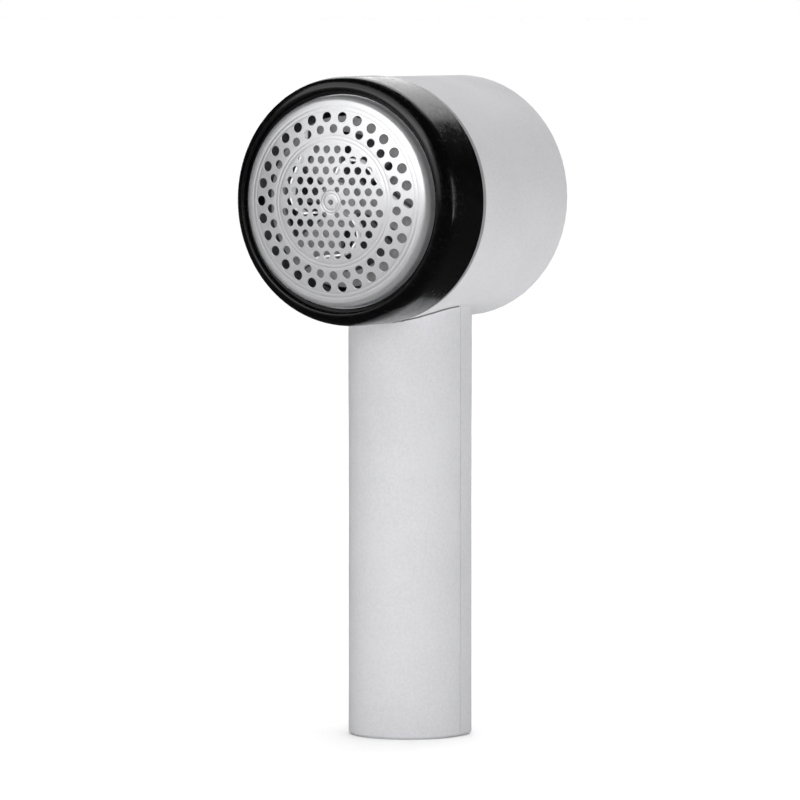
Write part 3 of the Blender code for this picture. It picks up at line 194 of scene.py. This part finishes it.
def finish_piece(name, bm, body, material, sharp_deg=SHARP_DEG):
    """Store a bmesh as a smooth-shaded piece that rides on a body."""
    bmesh.ops.recalc_face_normals(bm, faces=bm.faces[:])
    mesh = bpy.data.meshes.new(name)
    bm.to_mesh(mesh)
    bm.free()
    mesh.shade_smooth()
    mesh.set_sharp_from_angle(angle=math.radians(sharp_deg))
    piece = bpy.data.objects.new(name, mesh)
    bpy.context.scene.collection.objects.link(piece)
    mesh.materials.append(material)
    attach(piece, body)
    return piece


def add_circle(bm, radius, depth, segments):
    """Add a circle of vertices round the head axis and return it."""
    return [bm.verts.new(head_point(radius, 2 * math.pi * i / segments, depth))
            for i in range(segments)]


def bridge(bm, first, second):
    """Join two closed loops of vertices with a band of quads."""
    count = len(first)
    for i in range(count):
        j = (i + 1) % count
        bm.faces.new((first[i], first[j], second[j], second[i]))


def add_lathe(bm, profile, segments):
    """Revolve a closed (radius, depth) outline about the head axis."""
    rings = [add_circle(bm, radius, depth, segments) for radius, depth in profile]
    for index, ring in enumerate(rings):
        bridge(bm, ring, rings[(index + 1) % len(rings)])


def smooth_curve(points, steps):
    """Catmull-Rom curve through the points, ends included."""
    result = []
    for i in range(len(points) - 1):
        p0 = Vector(points[max(i - 1, 0)])
        p1 = Vector(points[i])
        p2 = Vector(points[i + 1])
        p3 = Vector(points[min(i + 2, len(points) - 1)])
        for step in range(steps):
            t = step / steps
            point = 0.5 * (2 * p1 + (p2 - p0) * t + (2 * p0 - 5 * p1 + 4 * p2 - p3) * t ** 2
                           + (3 * p1 - p0 - 3 * p2 + p3) * t ** 3)
            result.append(tuple(point))
    result.append(tuple(points[-1]))
    return result


# ---------------------------------------------------------------- materials

class Surface:
    """Builds one procedural material on the Principled shader."""

    def __init__(self, name, colour, roughness, metallic=0.0, specular=0.5):
        self.material = bpy.data.materials.new(name)
        self.material.use_nodes = True
        self.nodes = self.material.node_tree.nodes
        self.links = self.material.node_tree.links
        self.shader = self.nodes["Principled BSDF"]
        self.colour = colour
        self.roughness = roughness
        self.set("Base Color", (colour[0], colour[1], colour[2], 1.0))
        self.set("Roughness", roughness)
        self.set("Metallic", metallic)
        self.set("Specular IOR Level", specular)
        self.coordinates = self.nodes.new("ShaderNodeTexCoord").outputs["Object"]
        self.last_bump = None

    def set(self, socket, value):
        """Set a uniform value on the shader's own socket."""
        self.shader.inputs[socket].default_value = value

    def noise(self, scale, detail=2.0, vector=None, dimensions="3D"):
        """Noise between 0 and 1 in object space; scale is in cycles per metre."""
        node = self.nodes.new("ShaderNodeTexNoise")
        node.noise_dimensions = dimensions
        node.inputs["Scale"].default_value = scale
        node.inputs["Detail"].default_value = detail
        socket = "W" if dimensions == "1D" else "Vector"
        self.links.new(vector or self.coordinates, node.inputs[socket])
        return node.outputs["Fac"]

    def spread(self, value, low, high, out_low, out_high):
        """Map a value from one range to another, clamped."""
        node = self.nodes.new("ShaderNodeMapRange")
        node.inputs["From Min"].default_value = low
        node.inputs["From Max"].default_value = high
        node.inputs["To Min"].default_value = out_low
        node.inputs["To Max"].default_value = out_high
        self.links.new(value, node.inputs["Value"])
        return node.outputs["Result"]

    def math(self, operation, first, second):
        """Arithmetic on a value and a number or another value."""
        node = self.nodes.new("ShaderNodeMath")
        node.operation = operation
        for index, term in enumerate((first, second)):
            if isinstance(term, (int, float)):
                node.inputs[index].default_value = term
            else:
                self.links.new(term, node.inputs[index])
        return node.outputs["Value"]

    def blend(self, first, second, share):
        """Weighted sum of two values; the share is the first one's."""
        return self.math('ADD', self.math('MULTIPLY', first, share),
                         self.math('MULTIPLY', second, 1.0 - share))

    def vary_colour(self, value, low, high, darker):
        """Mix the base colour towards a darker one as a value rises."""
        node = self.nodes.new("ShaderNodeMix")
        node.data_type = 'RGBA'
        self.links.new(self.spread(value, low, high, 0.0, 1.0), node.inputs["Factor"])
        first, second = [s for s in node.inputs if s.type == 'RGBA']
        first.default_value = (*self.colour, 1.0)
        second.default_value = (*darker, 1.0)
        result = [s for s in node.outputs if s.type == 'RGBA'][0]
        self.links.new(result, self.shader.inputs["Base Color"])
        return result

    def vary_roughness(self, value, low, high, amount):
        """Vary the roughness by plus or minus an amount."""
        mapped = self.spread(value, low, high, self.roughness - amount, self.roughness + amount)
        self.links.new(mapped, self.shader.inputs["Roughness"])

    def bump(self, height, strength, distance_mm):
        """Add a layer of relief."""
        node = self.nodes.new("ShaderNodeBump")
        node.inputs["Strength"].default_value = strength
        node.inputs["Distance"].default_value = distance_mm * MM
        self.links.new(height, node.inputs["Height"])
        if self.last_bump is not None:
            self.links.new(self.last_bump, node.inputs["Normal"])
        self.last_bump = node.outputs["Normal"]
        self.links.new(self.last_bump, self.shader.inputs["Normal"])

    def radius(self):
        """Distance from the head axis, in metres."""
        node = self.nodes.new("ShaderNodeSeparateXYZ")
        self.links.new(self.coordinates, node.inputs["Vector"])
        x = node.outputs["X"]
        z = self.math('SUBTRACT', node.outputs["Z"], HEAD_Z)
        return self.math('SQRT', self.math('ADD', self.math('MULTIPLY', x, x),
                                           self.math('MULTIPLY', z, z)), 0.0)


def moulded_plastic(name, colour, roughness, darker, grain=1500.0, relief=0.5, specular=0.5):
    """Spark-eroded plastic: fine grain, faint colour speckle and uneven sheen."""
    surface = Surface(name, colour, roughness, specular=specular)
    fine = surface.noise(grain, 3.0)
    broad = surface.noise(60.0, 3.0)
    surface.vary_colour(surface.blend(fine, broad, 0.6), 0.42, 0.62, darker)
    surface.vary_roughness(broad, 0.3, 0.7, 0.06)
    surface.bump(fine, relief, 0.03)
    return surface.material


def white_shell():
    """Matte off-white housing plastic."""
    return moulded_plastic("white_shell", (0.66, 0.66, 0.68), 0.55, (0.61, 0.61, 0.635))


def gloss_black():
    """Polished black plastic with faint polishing mottle."""
    surface = Surface("black_gloss", (0.001, 0.001, 0.0013), 0.2, specular=0.3)
    mottle = surface.noise(900.0, 4.0)
    broad = surface.noise(120.0, 2.0)
    surface.vary_colour(mottle, 0.4, 0.7, (0.0025, 0.0025, 0.003))
    surface.vary_roughness(surface.blend(mottle, broad, 0.6), 0.35, 0.65, 0.09)
    surface.bump(mottle, 0.2, 0.008)
    return surface.material


def foil_steel():
    """Satin steel foil with fine circular brushing."""
    surface = Surface("foil_steel", (0.93, 0.93, 0.945), 0.34, metallic=0.8)
    brushing = surface.noise(9000.0, 2.0, surface.radius(), "1D")
    grain = surface.noise(2500.0, 2.0)
    mixed = surface.blend(brushing, grain, 0.65)
    surface.vary_colour(mixed, 0.4, 0.7, (0.84, 0.84, 0.86))
    surface.vary_roughness(mixed, 0.35, 0.65, 0.06)
    surface.bump(mixed, 0.3, 0.006)
    return surface.material


def metal(name, colour, roughness, darker, grain=1800.0, relief=0.3):
    """Plain machined or plated metal with fine wear."""
    surface = Surface(name, colour, roughness, metallic=1.0)
    fine = surface.noise(grain, 4.0)
    surface.vary_colour(fine, 0.4, 0.7, darker)
    surface.vary_roughness(fine, 0.35, 0.65, 0.08)
    surface.bump(fine, relief, 0.01)
    return surface.material


def blade_steel():
    """Dark hardened blade with a bright ground band along its cutting edge; the same colour
    feeds its emission, so the band glows as a painted highlight.
    """
    surface = Surface("blade_steel", (0.93, 0.93, 0.94), 0.3, metallic=0.4)
    grind = surface.noise(2600.0, 3.0)
    split = surface.nodes.new("ShaderNodeSeparateXYZ")
    surface.links.new(surface.coordinates, split.inputs["Vector"])
    wander = surface.math('MULTIPLY', surface.noise(300.0), BLADE_BAND_WANDER * MM)
    place = surface.math('ADD', split.outputs["Y"], wander)
    bright, dark = BLADE_BAND
    colour = surface.vary_colour(place, y_at(bright), y_at(dark), (0.05, 0.05, 0.052))
    # The blade's tone also drives its emission: a painted glow on the bright edge
    surface.links.new(colour, surface.shader.inputs["Emission Color"])
    surface.set("Emission Strength", BLADE_PAINTED_GLOW)
    surface.vary_roughness(grind, 0.35, 0.65, 0.08)
    surface.bump(grind, 0.3, 0.01)
    return surface.material


def smoke_plastic():
    """Smoke-tinted translucent bin plastic."""
    surface = Surface("smoke_plastic", (0.20, 0.21, 0.23), 0.22)
    haze = surface.noise(400.0, 3.0)
    surface.vary_colour(haze, 0.4, 0.7, (0.16, 0.17, 0.19))
    surface.vary_roughness(haze, 0.35, 0.65, 0.05)
    surface.bump(haze, 0.15, 0.02)
    surface.set("Transmission Weight", 0.35)
    return surface.material


MATERIALS = {
    "white_shell": white_shell(),
    "white_bin_cap": moulded_plastic("white_bin_cap", (0.64, 0.64, 0.66), 0.5,
                                     (0.59, 0.59, 0.61)),
    "black_gloss": gloss_black(),
    "black_moulding": moulded_plastic("black_moulding", (0.02, 0.02, 0.022), 0.5,
                                      (0.03, 0.03, 0.032)),
    "grey_moulding": moulded_plastic("grey_moulding", (0.30, 0.30, 0.31), 0.5,
                                     (0.24, 0.24, 0.25)),
    "carrier_grey": moulded_plastic("carrier_grey", (0.52, 0.52, 0.53), 0.4,
                                    (0.40, 0.40, 0.41), grain=900.0),
    "smoke_plastic": smoke_plastic(),
    "foil_steel": foil_steel(),
    "blade_steel": blade_steel(),
    "zinc_steel": metal("zinc_steel", (0.55, 0.56, 0.58), 0.32, (0.45, 0.46, 0.48)),
    "armature_iron": metal("armature_iron", (0.30, 0.30, 0.31), 0.5, (0.20, 0.19, 0.18)),
    "brass_metal": metal("brass_metal", (0.72, 0.55, 0.25), 0.3, (0.60, 0.44, 0.18)),
    "magnet_ferrite": moulded_plastic("magnet_ferrite", (0.06, 0.055, 0.055), 0.75,
                                      (0.04, 0.036, 0.036)),
    "seal_rubber": moulded_plastic("seal_rubber", (0.03, 0.03, 0.03), 0.8,
                                   (0.045, 0.045, 0.045), specular=0.3),
    "cell_wrap": moulded_plastic("cell_wrap", (0.08, 0.22, 0.42), 0.32, (0.06, 0.18, 0.36),
                                 grain=500.0, relief=0.2),
    "board_green": moulded_plastic("board_green", (0.02, 0.17, 0.07), 0.42,
                                   (0.015, 0.12, 0.05), grain=900.0),
    "lamp_clear": moulded_plastic("lamp_clear", (0.55, 0.12, 0.08), 0.2, (0.45, 0.09, 0.06),
                                  relief=0.1),
    "lead_red": moulded_plastic("lead_red", (0.5, 0.03, 0.02), 0.45, (0.38, 0.02, 0.015)),
    "lead_black": moulded_plastic("lead_black", (0.02, 0.02, 0.02), 0.45,
                                  (0.03, 0.03, 0.03)),
    "grey_slider": moulded_plastic("grey_slider", (0.10, 0.10, 0.105), 0.45,
                                   (0.075, 0.075, 0.08)),
}


# ---------------------------------------------------------------- CAD nodes that stay

def dress_nodes():
    """Give every CAD node its slot's surface, soft edges and smooth shading."""
    for subpart in frame["record"]["subparts"]:
        name = subpart["node"]
        node = frame["nodes"][name]
        key = "carrier_grey" if name == "blade_hub" else subpart["material_slot"]
        node.data.materials.clear()
        node.data.materials.append(MATERIALS[key])
        node.data.shade_smooth()
        weld = node.modifiers.new("weld", 'WELD')
        weld.merge_threshold = WELD_DISTANCE * MM
        soften_edges(node, EDGE_SOFTENING.get(name, USUAL_SOFTENING))


def soften_edges(piece, width_mm):
    """Small rounded edges with clean highlights."""
    bevel = piece.modifiers.new("bevel", 'BEVEL')
    bevel.width = width_mm * MM
    bevel.segments = BEVEL_SEGMENTS
    bevel.limit_method = 'ANGLE'
    bevel.angle_limit = math.radians(BEVEL_DEG)
    bevel.use_clamp_overlap = True
    bevel.miter_outer = 'MITER_ARC'
    weighted = piece.modifiers.new("weighted", 'WEIGHTED_NORMAL')
    weighted.weight = NORMAL_WEIGHT


# ---------------------------------------------------------------- cutting foil

def foil_depth(radius):
    """Depth in mm of the domed face, with its pressed circles."""
    depth = FOIL_DOME * radius * radius
    for centre, half_width, fall in PRESSED_CIRCLES:
        share = abs(radius - centre) / half_width
        if share < 1.0:
            depth += fall * (0.5 + 0.5 * math.cos(math.pi * share))
    return depth


def foil_holes():
    """(x, z, radius) in mm of every hole, measured from the foil's centre."""
    holes = [(0.0, 0.0, CENTRE_HOLE_R)]
    for i in range(NEAR_HOLES):
        angle = math.radians(360.0 / NEAR_HOLES * i)
        holes.append((NEAR_HOLE_RING * math.cos(angle), NEAR_HOLE_RING * math.sin(angle),
                      NEAR_HOLE_R))
    for row in range(-FIELD_ROWS, FIELD_ROWS + 1):
        for column in range(-FIELD_COLUMNS, FIELD_COLUMNS + 1):
            x = (column + 0.5 * row) * HOLE_PITCH
            z = row * HOLE_PITCH * math.sqrt(3) / 2
            if FIELD_MIN_R < math.hypot(x, z) < FIELD_MAX_R:
                holes.append((x, z, FINE_HOLE_R))
    step = 2 * math.pi / RING_HOLES
    for i in range(RING_HOLES):
        for radius, hole_r, offset in ((INNER_RING_R, INNER_RING_HOLE_R, 0.5),
                                       (OUTER_RING_R, OUTER_RING_HOLE_R, 0.0)):
            angle = step * (i + offset)
            holes.append((radius * math.cos(angle), radius * math.sin(angle), hole_r))
    return holes


def ring_loop(points, radius, count, centre=(0.0, 0.0)):
    """Append a circle of points and return its indices."""
    start = len(points)
    for i in range(count):
        angle = 2 * math.pi * i / count
        points.append(Vector((centre[0] + radius * math.cos(angle),
                              centre[1] + radius * math.sin(angle))))
    return list(range(start, start + count))


def add_net(points, holes):
    """Append a staggered net of points, clear of the holes and the pressed circles."""
    reach = int(NET_SPAN / NET_SPACING)
    for row in range(-reach, reach + 1):
        for column in range(-reach, reach + 1):
            x = (column + 0.5 * (row % 2)) * NET_SPACING
            z = row * NET_SPACING * NET_ROW_SHARE
            radius = math.hypot(x, z)
            clear = all(math.hypot(x - hx, z - hz) > hr + BURR_WIDTH + HOLE_CLEARANCE
                        for hx, hz, hr in holes)
            clear = clear and all(abs(radius - c) > w + CIRCLE_CLEARANCE
                                  for c, w, _ in PRESSED_CIRCLES)
            if clear and radius < NET_MAX_R:
                points.append(Vector((x, z)))


def foil_plan():
    """Flat mesh of the foil: points, triangles, hole loops, rim loop and sunk points."""
    points = []
    holes = foil_holes()
    inner = [ring_loop(points, r, HOLE_SIDES, (x, z)) for x, z, r in holes]
    outer = [ring_loop(points, r + BURR_WIDTH, HOLE_SIDES, (x, z)) for x, z, r in holes]
    loops = inner + outer
    for radius, half_width, _ in PRESSED_CIRCLES:
        count = SMALL_CIRCLE_SEGMENTS if radius < SMALL_CIRCLE_R else RIM_SEGMENTS
        for share in CIRCLE_LOOPS:
            loops.append(ring_loop(points, radius + share * half_width, count))
    loops.append(ring_loop(points, FOIL_FACE_R - RIM_LOOP_INSET, RIM_SEGMENTS))
    rim = ring_loop(points, FOIL_FACE_R, RIM_SEGMENTS)
    loops.append(rim)
    add_net(points, holes)
    edges = []
    for loop in loops:
        for i, index in enumerate(loop):
            edges.append((index, loop[(i + 1) % len(loop)]))
    flat, _, faces, _, _, _ = delaunay_2d_cdt(points, edges, [], 0, POINT_TOLERANCE)
    triangles = []
    for face in faces:
        centre = sum((flat[i] for i in face), Vector((0.0, 0.0))) / 3
        if centre.length > FOIL_FACE_R:
            continue
        if any((centre - Vector((x, z))).length < r * IN_HOLE_SHARE for x, z, r in holes):
            continue
        triangles.append(tuple(face))
    sunk = {index for loop in inner for index in loop}
    return flat, triangles, inner, rim, sunk


def make_foil():
    """Domed perforated foil with pressed circles, burred holes, a wall and a flange."""
    flat, triangles, inner, rim, sunk = foil_plan()
    bm = bmesh.new()
    front = []
    back = []
    on_rim = set(rim)
    for index, point in enumerate(flat):
        radius = point.length
        depth = foil_depth(radius) + (BURR_DEPTH if index in sunk else 0.0)
        front.append(bm.verts.new((point.x * MM, y_at(depth), HEAD_Z + point.y * MM)))
        share = (radius - FOIL_THICKNESS) / radius if index in on_rim else 1.0
        depth = foil_depth(radius * share) + FOIL_THICKNESS
        back.append(bm.verts.new((point.x * MM * share, y_at(depth),
                                  HEAD_Z + point.y * MM * share)))
    for a, b, c in triangles:
        bm.faces.new((front[a], front[b], front[c]))
        bm.faces.new((back[c], back[b], back[a]))
    for loop in inner:
        bridge(bm, [front[i] for i in loop], [back[i] for i in loop])
    add_foil_wall(bm, [front[i] for i in rim], [back[i] for i in rim])
    loose = [v for v in bm.verts if not v.link_faces]
    bmesh.ops.delete(bm, geom=loose, context='VERTS')
    return finish_piece("foil", bm, "foil_carrier", MATERIALS["foil_steel"], FOIL_SHARP_DEG)


def foil_edge_profile():
    """(radius, depth) outline of the rounded edge, wall and flange, then the inside."""
    slope = math.atan(2 * FOIL_DOME * FOIL_FACE_R)
    centre_r = FOIL_FACE_R - FOIL_ROUND_R * math.sin(slope)
    centre_depth = FOIL_DOME * FOIL_FACE_R ** 2 + FOIL_ROUND_R * math.cos(slope)
    turns = [slope + (math.pi / 2 - slope) * step / ROUND_STEPS
             for step in range(1, ROUND_STEPS + 1)]
    outside = [(centre_r + FOIL_ROUND_R * math.sin(turn),
                centre_depth - FOIL_ROUND_R * math.cos(turn)) for turn in turns]
    bend = FOIL_ROUND_R - FOIL_THICKNESS
    inside = [(centre_r + bend * math.sin(turn), centre_depth - bend * math.cos(turn))
              for turn in reversed(turns)]
    wall_r = centre_r + FOIL_ROUND_R
    rear = FOIL_FLANGE_DEPTH + FOIL_THICKNESS
    flange = [(wall_r, FOIL_FLANGE_DEPTH - FLANGE_CHAMFER),
              (wall_r + FLANGE_CHAMFER, FOIL_FLANGE_DEPTH),
              (FOIL_FLANGE_R, FOIL_FLANGE_DEPTH),
              (FOIL_FLANGE_R, rear), (wall_r - FOIL_THICKNESS, rear)]
    return outside + flange + inside


def add_foil_wall(bm, front_rim, back_rim):
    """Rounded edge, side wall and clamping flange round the foil."""
    rings = [add_circle(bm, radius, depth, len(front_rim))
             for radius, depth in foil_edge_profile()]
    loops = [front_rim] + rings + [back_rim]
    for first, second in zip(loops, loops[1:]):
        bridge(bm, first, second)


# ---------------------------------------------------------------- cover ring

def make_ring():
    """Screw ring with a sloped front bead, an inner lip, a ledge by the foil and its lugs."""
    profile = [(RING_R - RING_CHAMFER, RING_REAR), (RING_R, RING_REAR - RING_CHAMFER),
               (RING_R, RING_SIDE_DEPTH)]
    profile += smooth_curve(RING_BEAD, BEAD_STEPS)
    profile += RING_LEDGE
    profile += [(RING_BORE_R, LEDGE_REAR_DEPTH), (RING_BORE_R, RING_REAR - RING_BORE_CHAMFER),
                (RING_BORE_R + RING_BORE_CHAMFER, RING_REAR)]
    bm = bmesh.new()
    add_lathe(bm, profile, RING_SEGMENTS)
    ring = finish_piece("ring_shell", bm, "screw_ring", MATERIALS["black_gloss"],
                        RING_SHARP_DEG)
    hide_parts("cover_ring")
    for number in range(LUG_COUNT):
        make_lug(number)
    return ring


def lug_section(taper):
    """(radius, offset in depth) round a lug's section, its crest cut back by a taper."""
    crest = LUG_CREST_R + taper
    shoulder = LUG_SHOULDER_R + taper
    return ((crest, -LUG_CREST_HALF), (shoulder, -LUG_HALF), (LUG_ROOT_R, -LUG_HALF),
            (LUG_ROOT_R, LUG_HALF), (shoulder, LUG_HALF), (crest, LUG_CREST_HALF))


def make_lug(number):
    """Sloped thread lug inside the ring."""
    centre = 2 * math.pi * number / LUG_COUNT
    half = math.radians(LUG_HALF_DEG)
    bm = bmesh.new()
    sections = []
    for i in range(LUG_STEPS + 1):
        share = i / LUG_STEPS
        angle = centre - half + 2 * half * share
        depth = LUG_DEPTH - LUG_RISE * share
        taper = LUG_TAPER if i in (0, LUG_STEPS) else 0.0
        sections.append([bm.verts.new(head_point(radius, angle, depth + offset))
                         for radius, offset in lug_section(taper)])
    for first, second in zip(sections, sections[1:]):
        bridge(bm, first, second)
    bm.faces.new(sections[0])
    bm.faces.new(list(reversed(sections[-1])))
    lug = finish_piece("ring_lug_%d" % (number + 1), bm, "screw_ring",
                       MATERIALS["black_gloss"])


# ---------------------------------------------------------------- painted gap shade

def make_gap_shade_ring():
    """Thin grey ring in the step between the cover ring and the body, painted shade that stands
    in for the shadow in that gap.
    """
    bm = bmesh.new()
    add_lathe(bm, GAP_SHADE_PROFILE, RING_SEGMENTS)
    gap_shade = finish_piece("collar_gap_shade", bm, "housing", MATERIALS["grey_moulding"])


# ---------------------------------------------------------------- seam strips

def make_seam_strips():
    """Strips inside the handle wall that close its two side seams."""
    for name, side in (("seam_strip_left", -1), ("seam_strip_right", 1)):
        bm = bmesh.new()
        corners = [bm.verts.new((side * x * MM, y_at(depth), height * MM))
                   for x in STRIP_X for depth in STRIP_DEPTH for height in STRIP_HEIGHT]
        for face in STRIP_FACES:
            bm.faces.new([corners[i] for i in face])
        strip = finish_piece(name, bm, "housing", MATERIALS["grey_moulding"])


# ---------------------------------------------------------------- stage

# Strength of the surround, above and below the horizon in gloss and on matt surfaces
GLOSS_ABOVE = 0.02
GLOSS_BELOW = 0.045
MATT_LIGHT = 0.2
HORIZON = (0.02, -0.1)
OVERHEAD_LIGHT = 1.4
FLOOR_LIGHT = 1.5
OVERHEAD_SPREAD_DEG = 70.0
OVERHEAD_HEIGHT = 3.0
FLOOR_HALF = 60.0
AIM_DROP = 0.03
# (name, azimuth, elevation, distance in m, size in m, watts, lights matt, seen in gloss)
LIGHT_CARDS = (
    ("foil_card", 6.0, 26.0, 1.3, (1.0, 0.9), 3.0, False, True),
    ("wide_card", -4.0, 25.0, 1.3, (2.0, 1.2), 7.2, False, True),
    ("fill_card", -30.0, -14.0, 1.4, (1.5, 0.9), 1.2, False, True),
    ("front_card", 31.0, 2.0, 1.5, (0.9, 0.9), 12.5, True, False),
    ("left_card", -12.0, 16.0, 1.5, (0.9, 0.9), 1.2, True, False),
    ("rear_card", 197.0, 26.0, 1.2, (0.9, 0.7), 3.6, True, True),
    ("side_strip", 130.0, 2.0, 1.2, (0.10, 0.5), 0.8, False, True),
)
# The same values for the card that lights only the cover ring
RING_CARD = ("ring_card", -20.0, 47.0, 1.3, (2.3, 0.9), 13.0, False, True)


def make_floor():
    """Large plain pale floor under the handle; returns the collection that holds it."""
    material = bpy.data.materials.new("floor")
    material.use_nodes = True
    shader = material.node_tree.nodes["Principled BSDF"]
    shader.inputs["Base Color"].default_value = (0.94, 0.94, 0.94, 1.0)
    shader.inputs["Roughness"].default_value = 0.95
    shader.inputs["Specular IOR Level"].default_value = 0.05
    bm = bmesh.new()
    bm.faces.new([bm.verts.new((x * FLOOR_HALF, y * FLOOR_HALF, 0.0))
                  for x, y in ((-1, -1), (1, -1), (1, 1), (-1, 1))])
    mesh = bpy.data.meshes.new("floor")
    bm.to_mesh(mesh)
    bm.free()
    mesh.materials.append(material)
    floor = bpy.data.objects.new("floor", mesh)
    floor.visible_glossy = False
    bpy.context.scene.collection.objects.link(floor)
    receivers = bpy.data.collections.new("floor_light_receivers")
    receivers.objects.link(floor)
    return receivers


def make_light(name, azimuth, elevation, distance, size, energy, matt, glossy):
    """Rectangular soft light aimed at the head; azimuth 0 is in front, 90 at +X."""
    centre = Vector((0.0, 0.0, HEAD_Z - AIM_DROP))
    a = math.radians(azimuth)
    e = math.radians(elevation)
    out = Vector((math.sin(a) * math.cos(e), -math.cos(a) * math.cos(e), math.sin(e)))
    light = bpy.data.lights.new(name, 'AREA')
    light.shape = 'RECTANGLE'
    light.size = size[0]
    light.size_y = size[1]
    light.energy = energy
    lamp = bpy.data.objects.new(name, light)
    lamp.location = centre + out * distance
    lamp.rotation_euler = (-out).to_track_quat('-Z', 'Y').to_euler()
    lamp.visible_diffuse = matt
    lamp.visible_glossy = glossy
    lamp.visible_camera = False
    bpy.context.scene.collection.objects.link(lamp)
    return lamp


def light_only(lamp, piece):
    """Let a lamp light one piece and nothing else."""
    receivers = bpy.data.collections.new(lamp.name + "_receivers")
    receivers.objects.link(piece)
    lamp.light_linking.receiver_collection = receivers


def make_world():
    """White surround for the eye; even light for matt surfaces, a dark studio for gloss."""
    world = bpy.data.worlds.new("world")
    bpy.context.scene.world = world
    world.use_nodes = True
    nodes = world.node_tree.nodes
    links = world.node_tree.links
    nodes.clear()

    def background(strength):
        node = nodes.new("ShaderNodeBackground")
        node.inputs["Color"].default_value = (1.0, 1.0, 1.0, 1.0)
        node.inputs["Strength"].default_value = strength
        return node.outputs["Background"]

    def mixed(factor, first, second):
        node = nodes.new("ShaderNodeMixShader")
        links.new(factor, node.inputs["Fac"])
        links.new(first, node.inputs[1])
        links.new(second, node.inputs[2])
        return node.outputs["Shader"]

    path = nodes.new("ShaderNodeLightPath")
    place = nodes.new("ShaderNodeTexCoord")
    split = nodes.new("ShaderNodeSeparateXYZ")
    links.new(place.outputs["Generated"], split.inputs["Vector"])
    below = nodes.new("ShaderNodeMapRange")
    below.inputs["From Min"].default_value = HORIZON[0]
    below.inputs["From Max"].default_value = HORIZON[1]
    links.new(split.outputs["Z"], below.inputs["Value"])
    gloss = mixed(below.outputs["Result"], background(GLOSS_ABOVE), background(GLOSS_BELOW))
    matt = mixed(path.outputs["Is Glossy Ray"], background(MATT_LIGHT), gloss)
    seen = mixed(path.outputs["Is Camera Ray"], matt, background(1.0))
    output = nodes.new("ShaderNodeOutputWorld")
    links.new(seen, output.inputs["Surface"])


def make_overhead(name, energy, receivers=None):
    """Broad overhead light, on everything or only on what is in a collection."""
    light = bpy.data.lights.new(name, 'SUN')
    light.energy = energy
    light.angle = math.radians(OVERHEAD_SPREAD_DEG)
    lamp = bpy.data.objects.new(name, light)
    lamp.location = (0.0, 0.0, OVERHEAD_HEIGHT)
    lamp.visible_glossy = False
    bpy.context.scene.collection.objects.link(lamp)
    if receivers is not None:
        lamp.light_linking.receiver_collection = receivers


def make_camera():
    """Camera at the photograph's angle."""
    side = math.radians(CAMERA_SIDE_DEG)
    rise = math.radians(CAMERA_RISE_DEG)
    out = Vector((math.sin(side) * math.cos(rise), -math.cos(side) * math.cos(rise),
                  math.sin(rise)))
    camera = bpy.data.cameras.new("camera")
    camera.lens = LENS
    camera.sensor_width = SENSOR_WIDTH
    camera.clip_start = 0.05
    camera.clip_end = 100.0
    view = bpy.data.objects.new("camera", camera)
    view.location = Vector((0.0, FOIL_Y, HEAD_Z)) + out * CAMERA_DISTANCE
    heading = math.radians(LOOK_HEADING_DEG)
    pitch = math.radians(LOOK_PITCH_DEG)
    look = Vector((math.sin(heading) * math.cos(pitch), math.cos(heading) * math.cos(pitch),
                   math.sin(pitch)))
    view.rotation_euler = look.to_track_quat('-Z', 'Y').to_euler()
    bpy.context.scene.collection.objects.link(view)
    bpy.context.scene.camera = view


def make_stage():
    """Floor, surround, lights and camera."""
    make_camera()
    receivers = make_floor()
    make_world()
    make_overhead("overhead", OVERHEAD_LIGHT)
    make_overhead("floor_overhead", FLOOR_LIGHT, receivers)
    for card in LIGHT_CARDS:
        make_light(*card)
    bpy.context.scene.view_settings.view_transform = 'Standard'
    bpy.context.scene.view_settings.look = 'None'


# ---------------------------------------------------------------- assembly

def main():
    """Build every piece and the stage."""
    make_stage()
    dress_nodes()
    foil = make_foil()
    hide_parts("cutting_foil")
    ring = make_ring()
    light_only(make_light(*RING_CARD), ring)
    # Grey ring as painted shade in the gap behind the cover ring
    make_gap_shade_ring()
    make_seam_strips()


main()
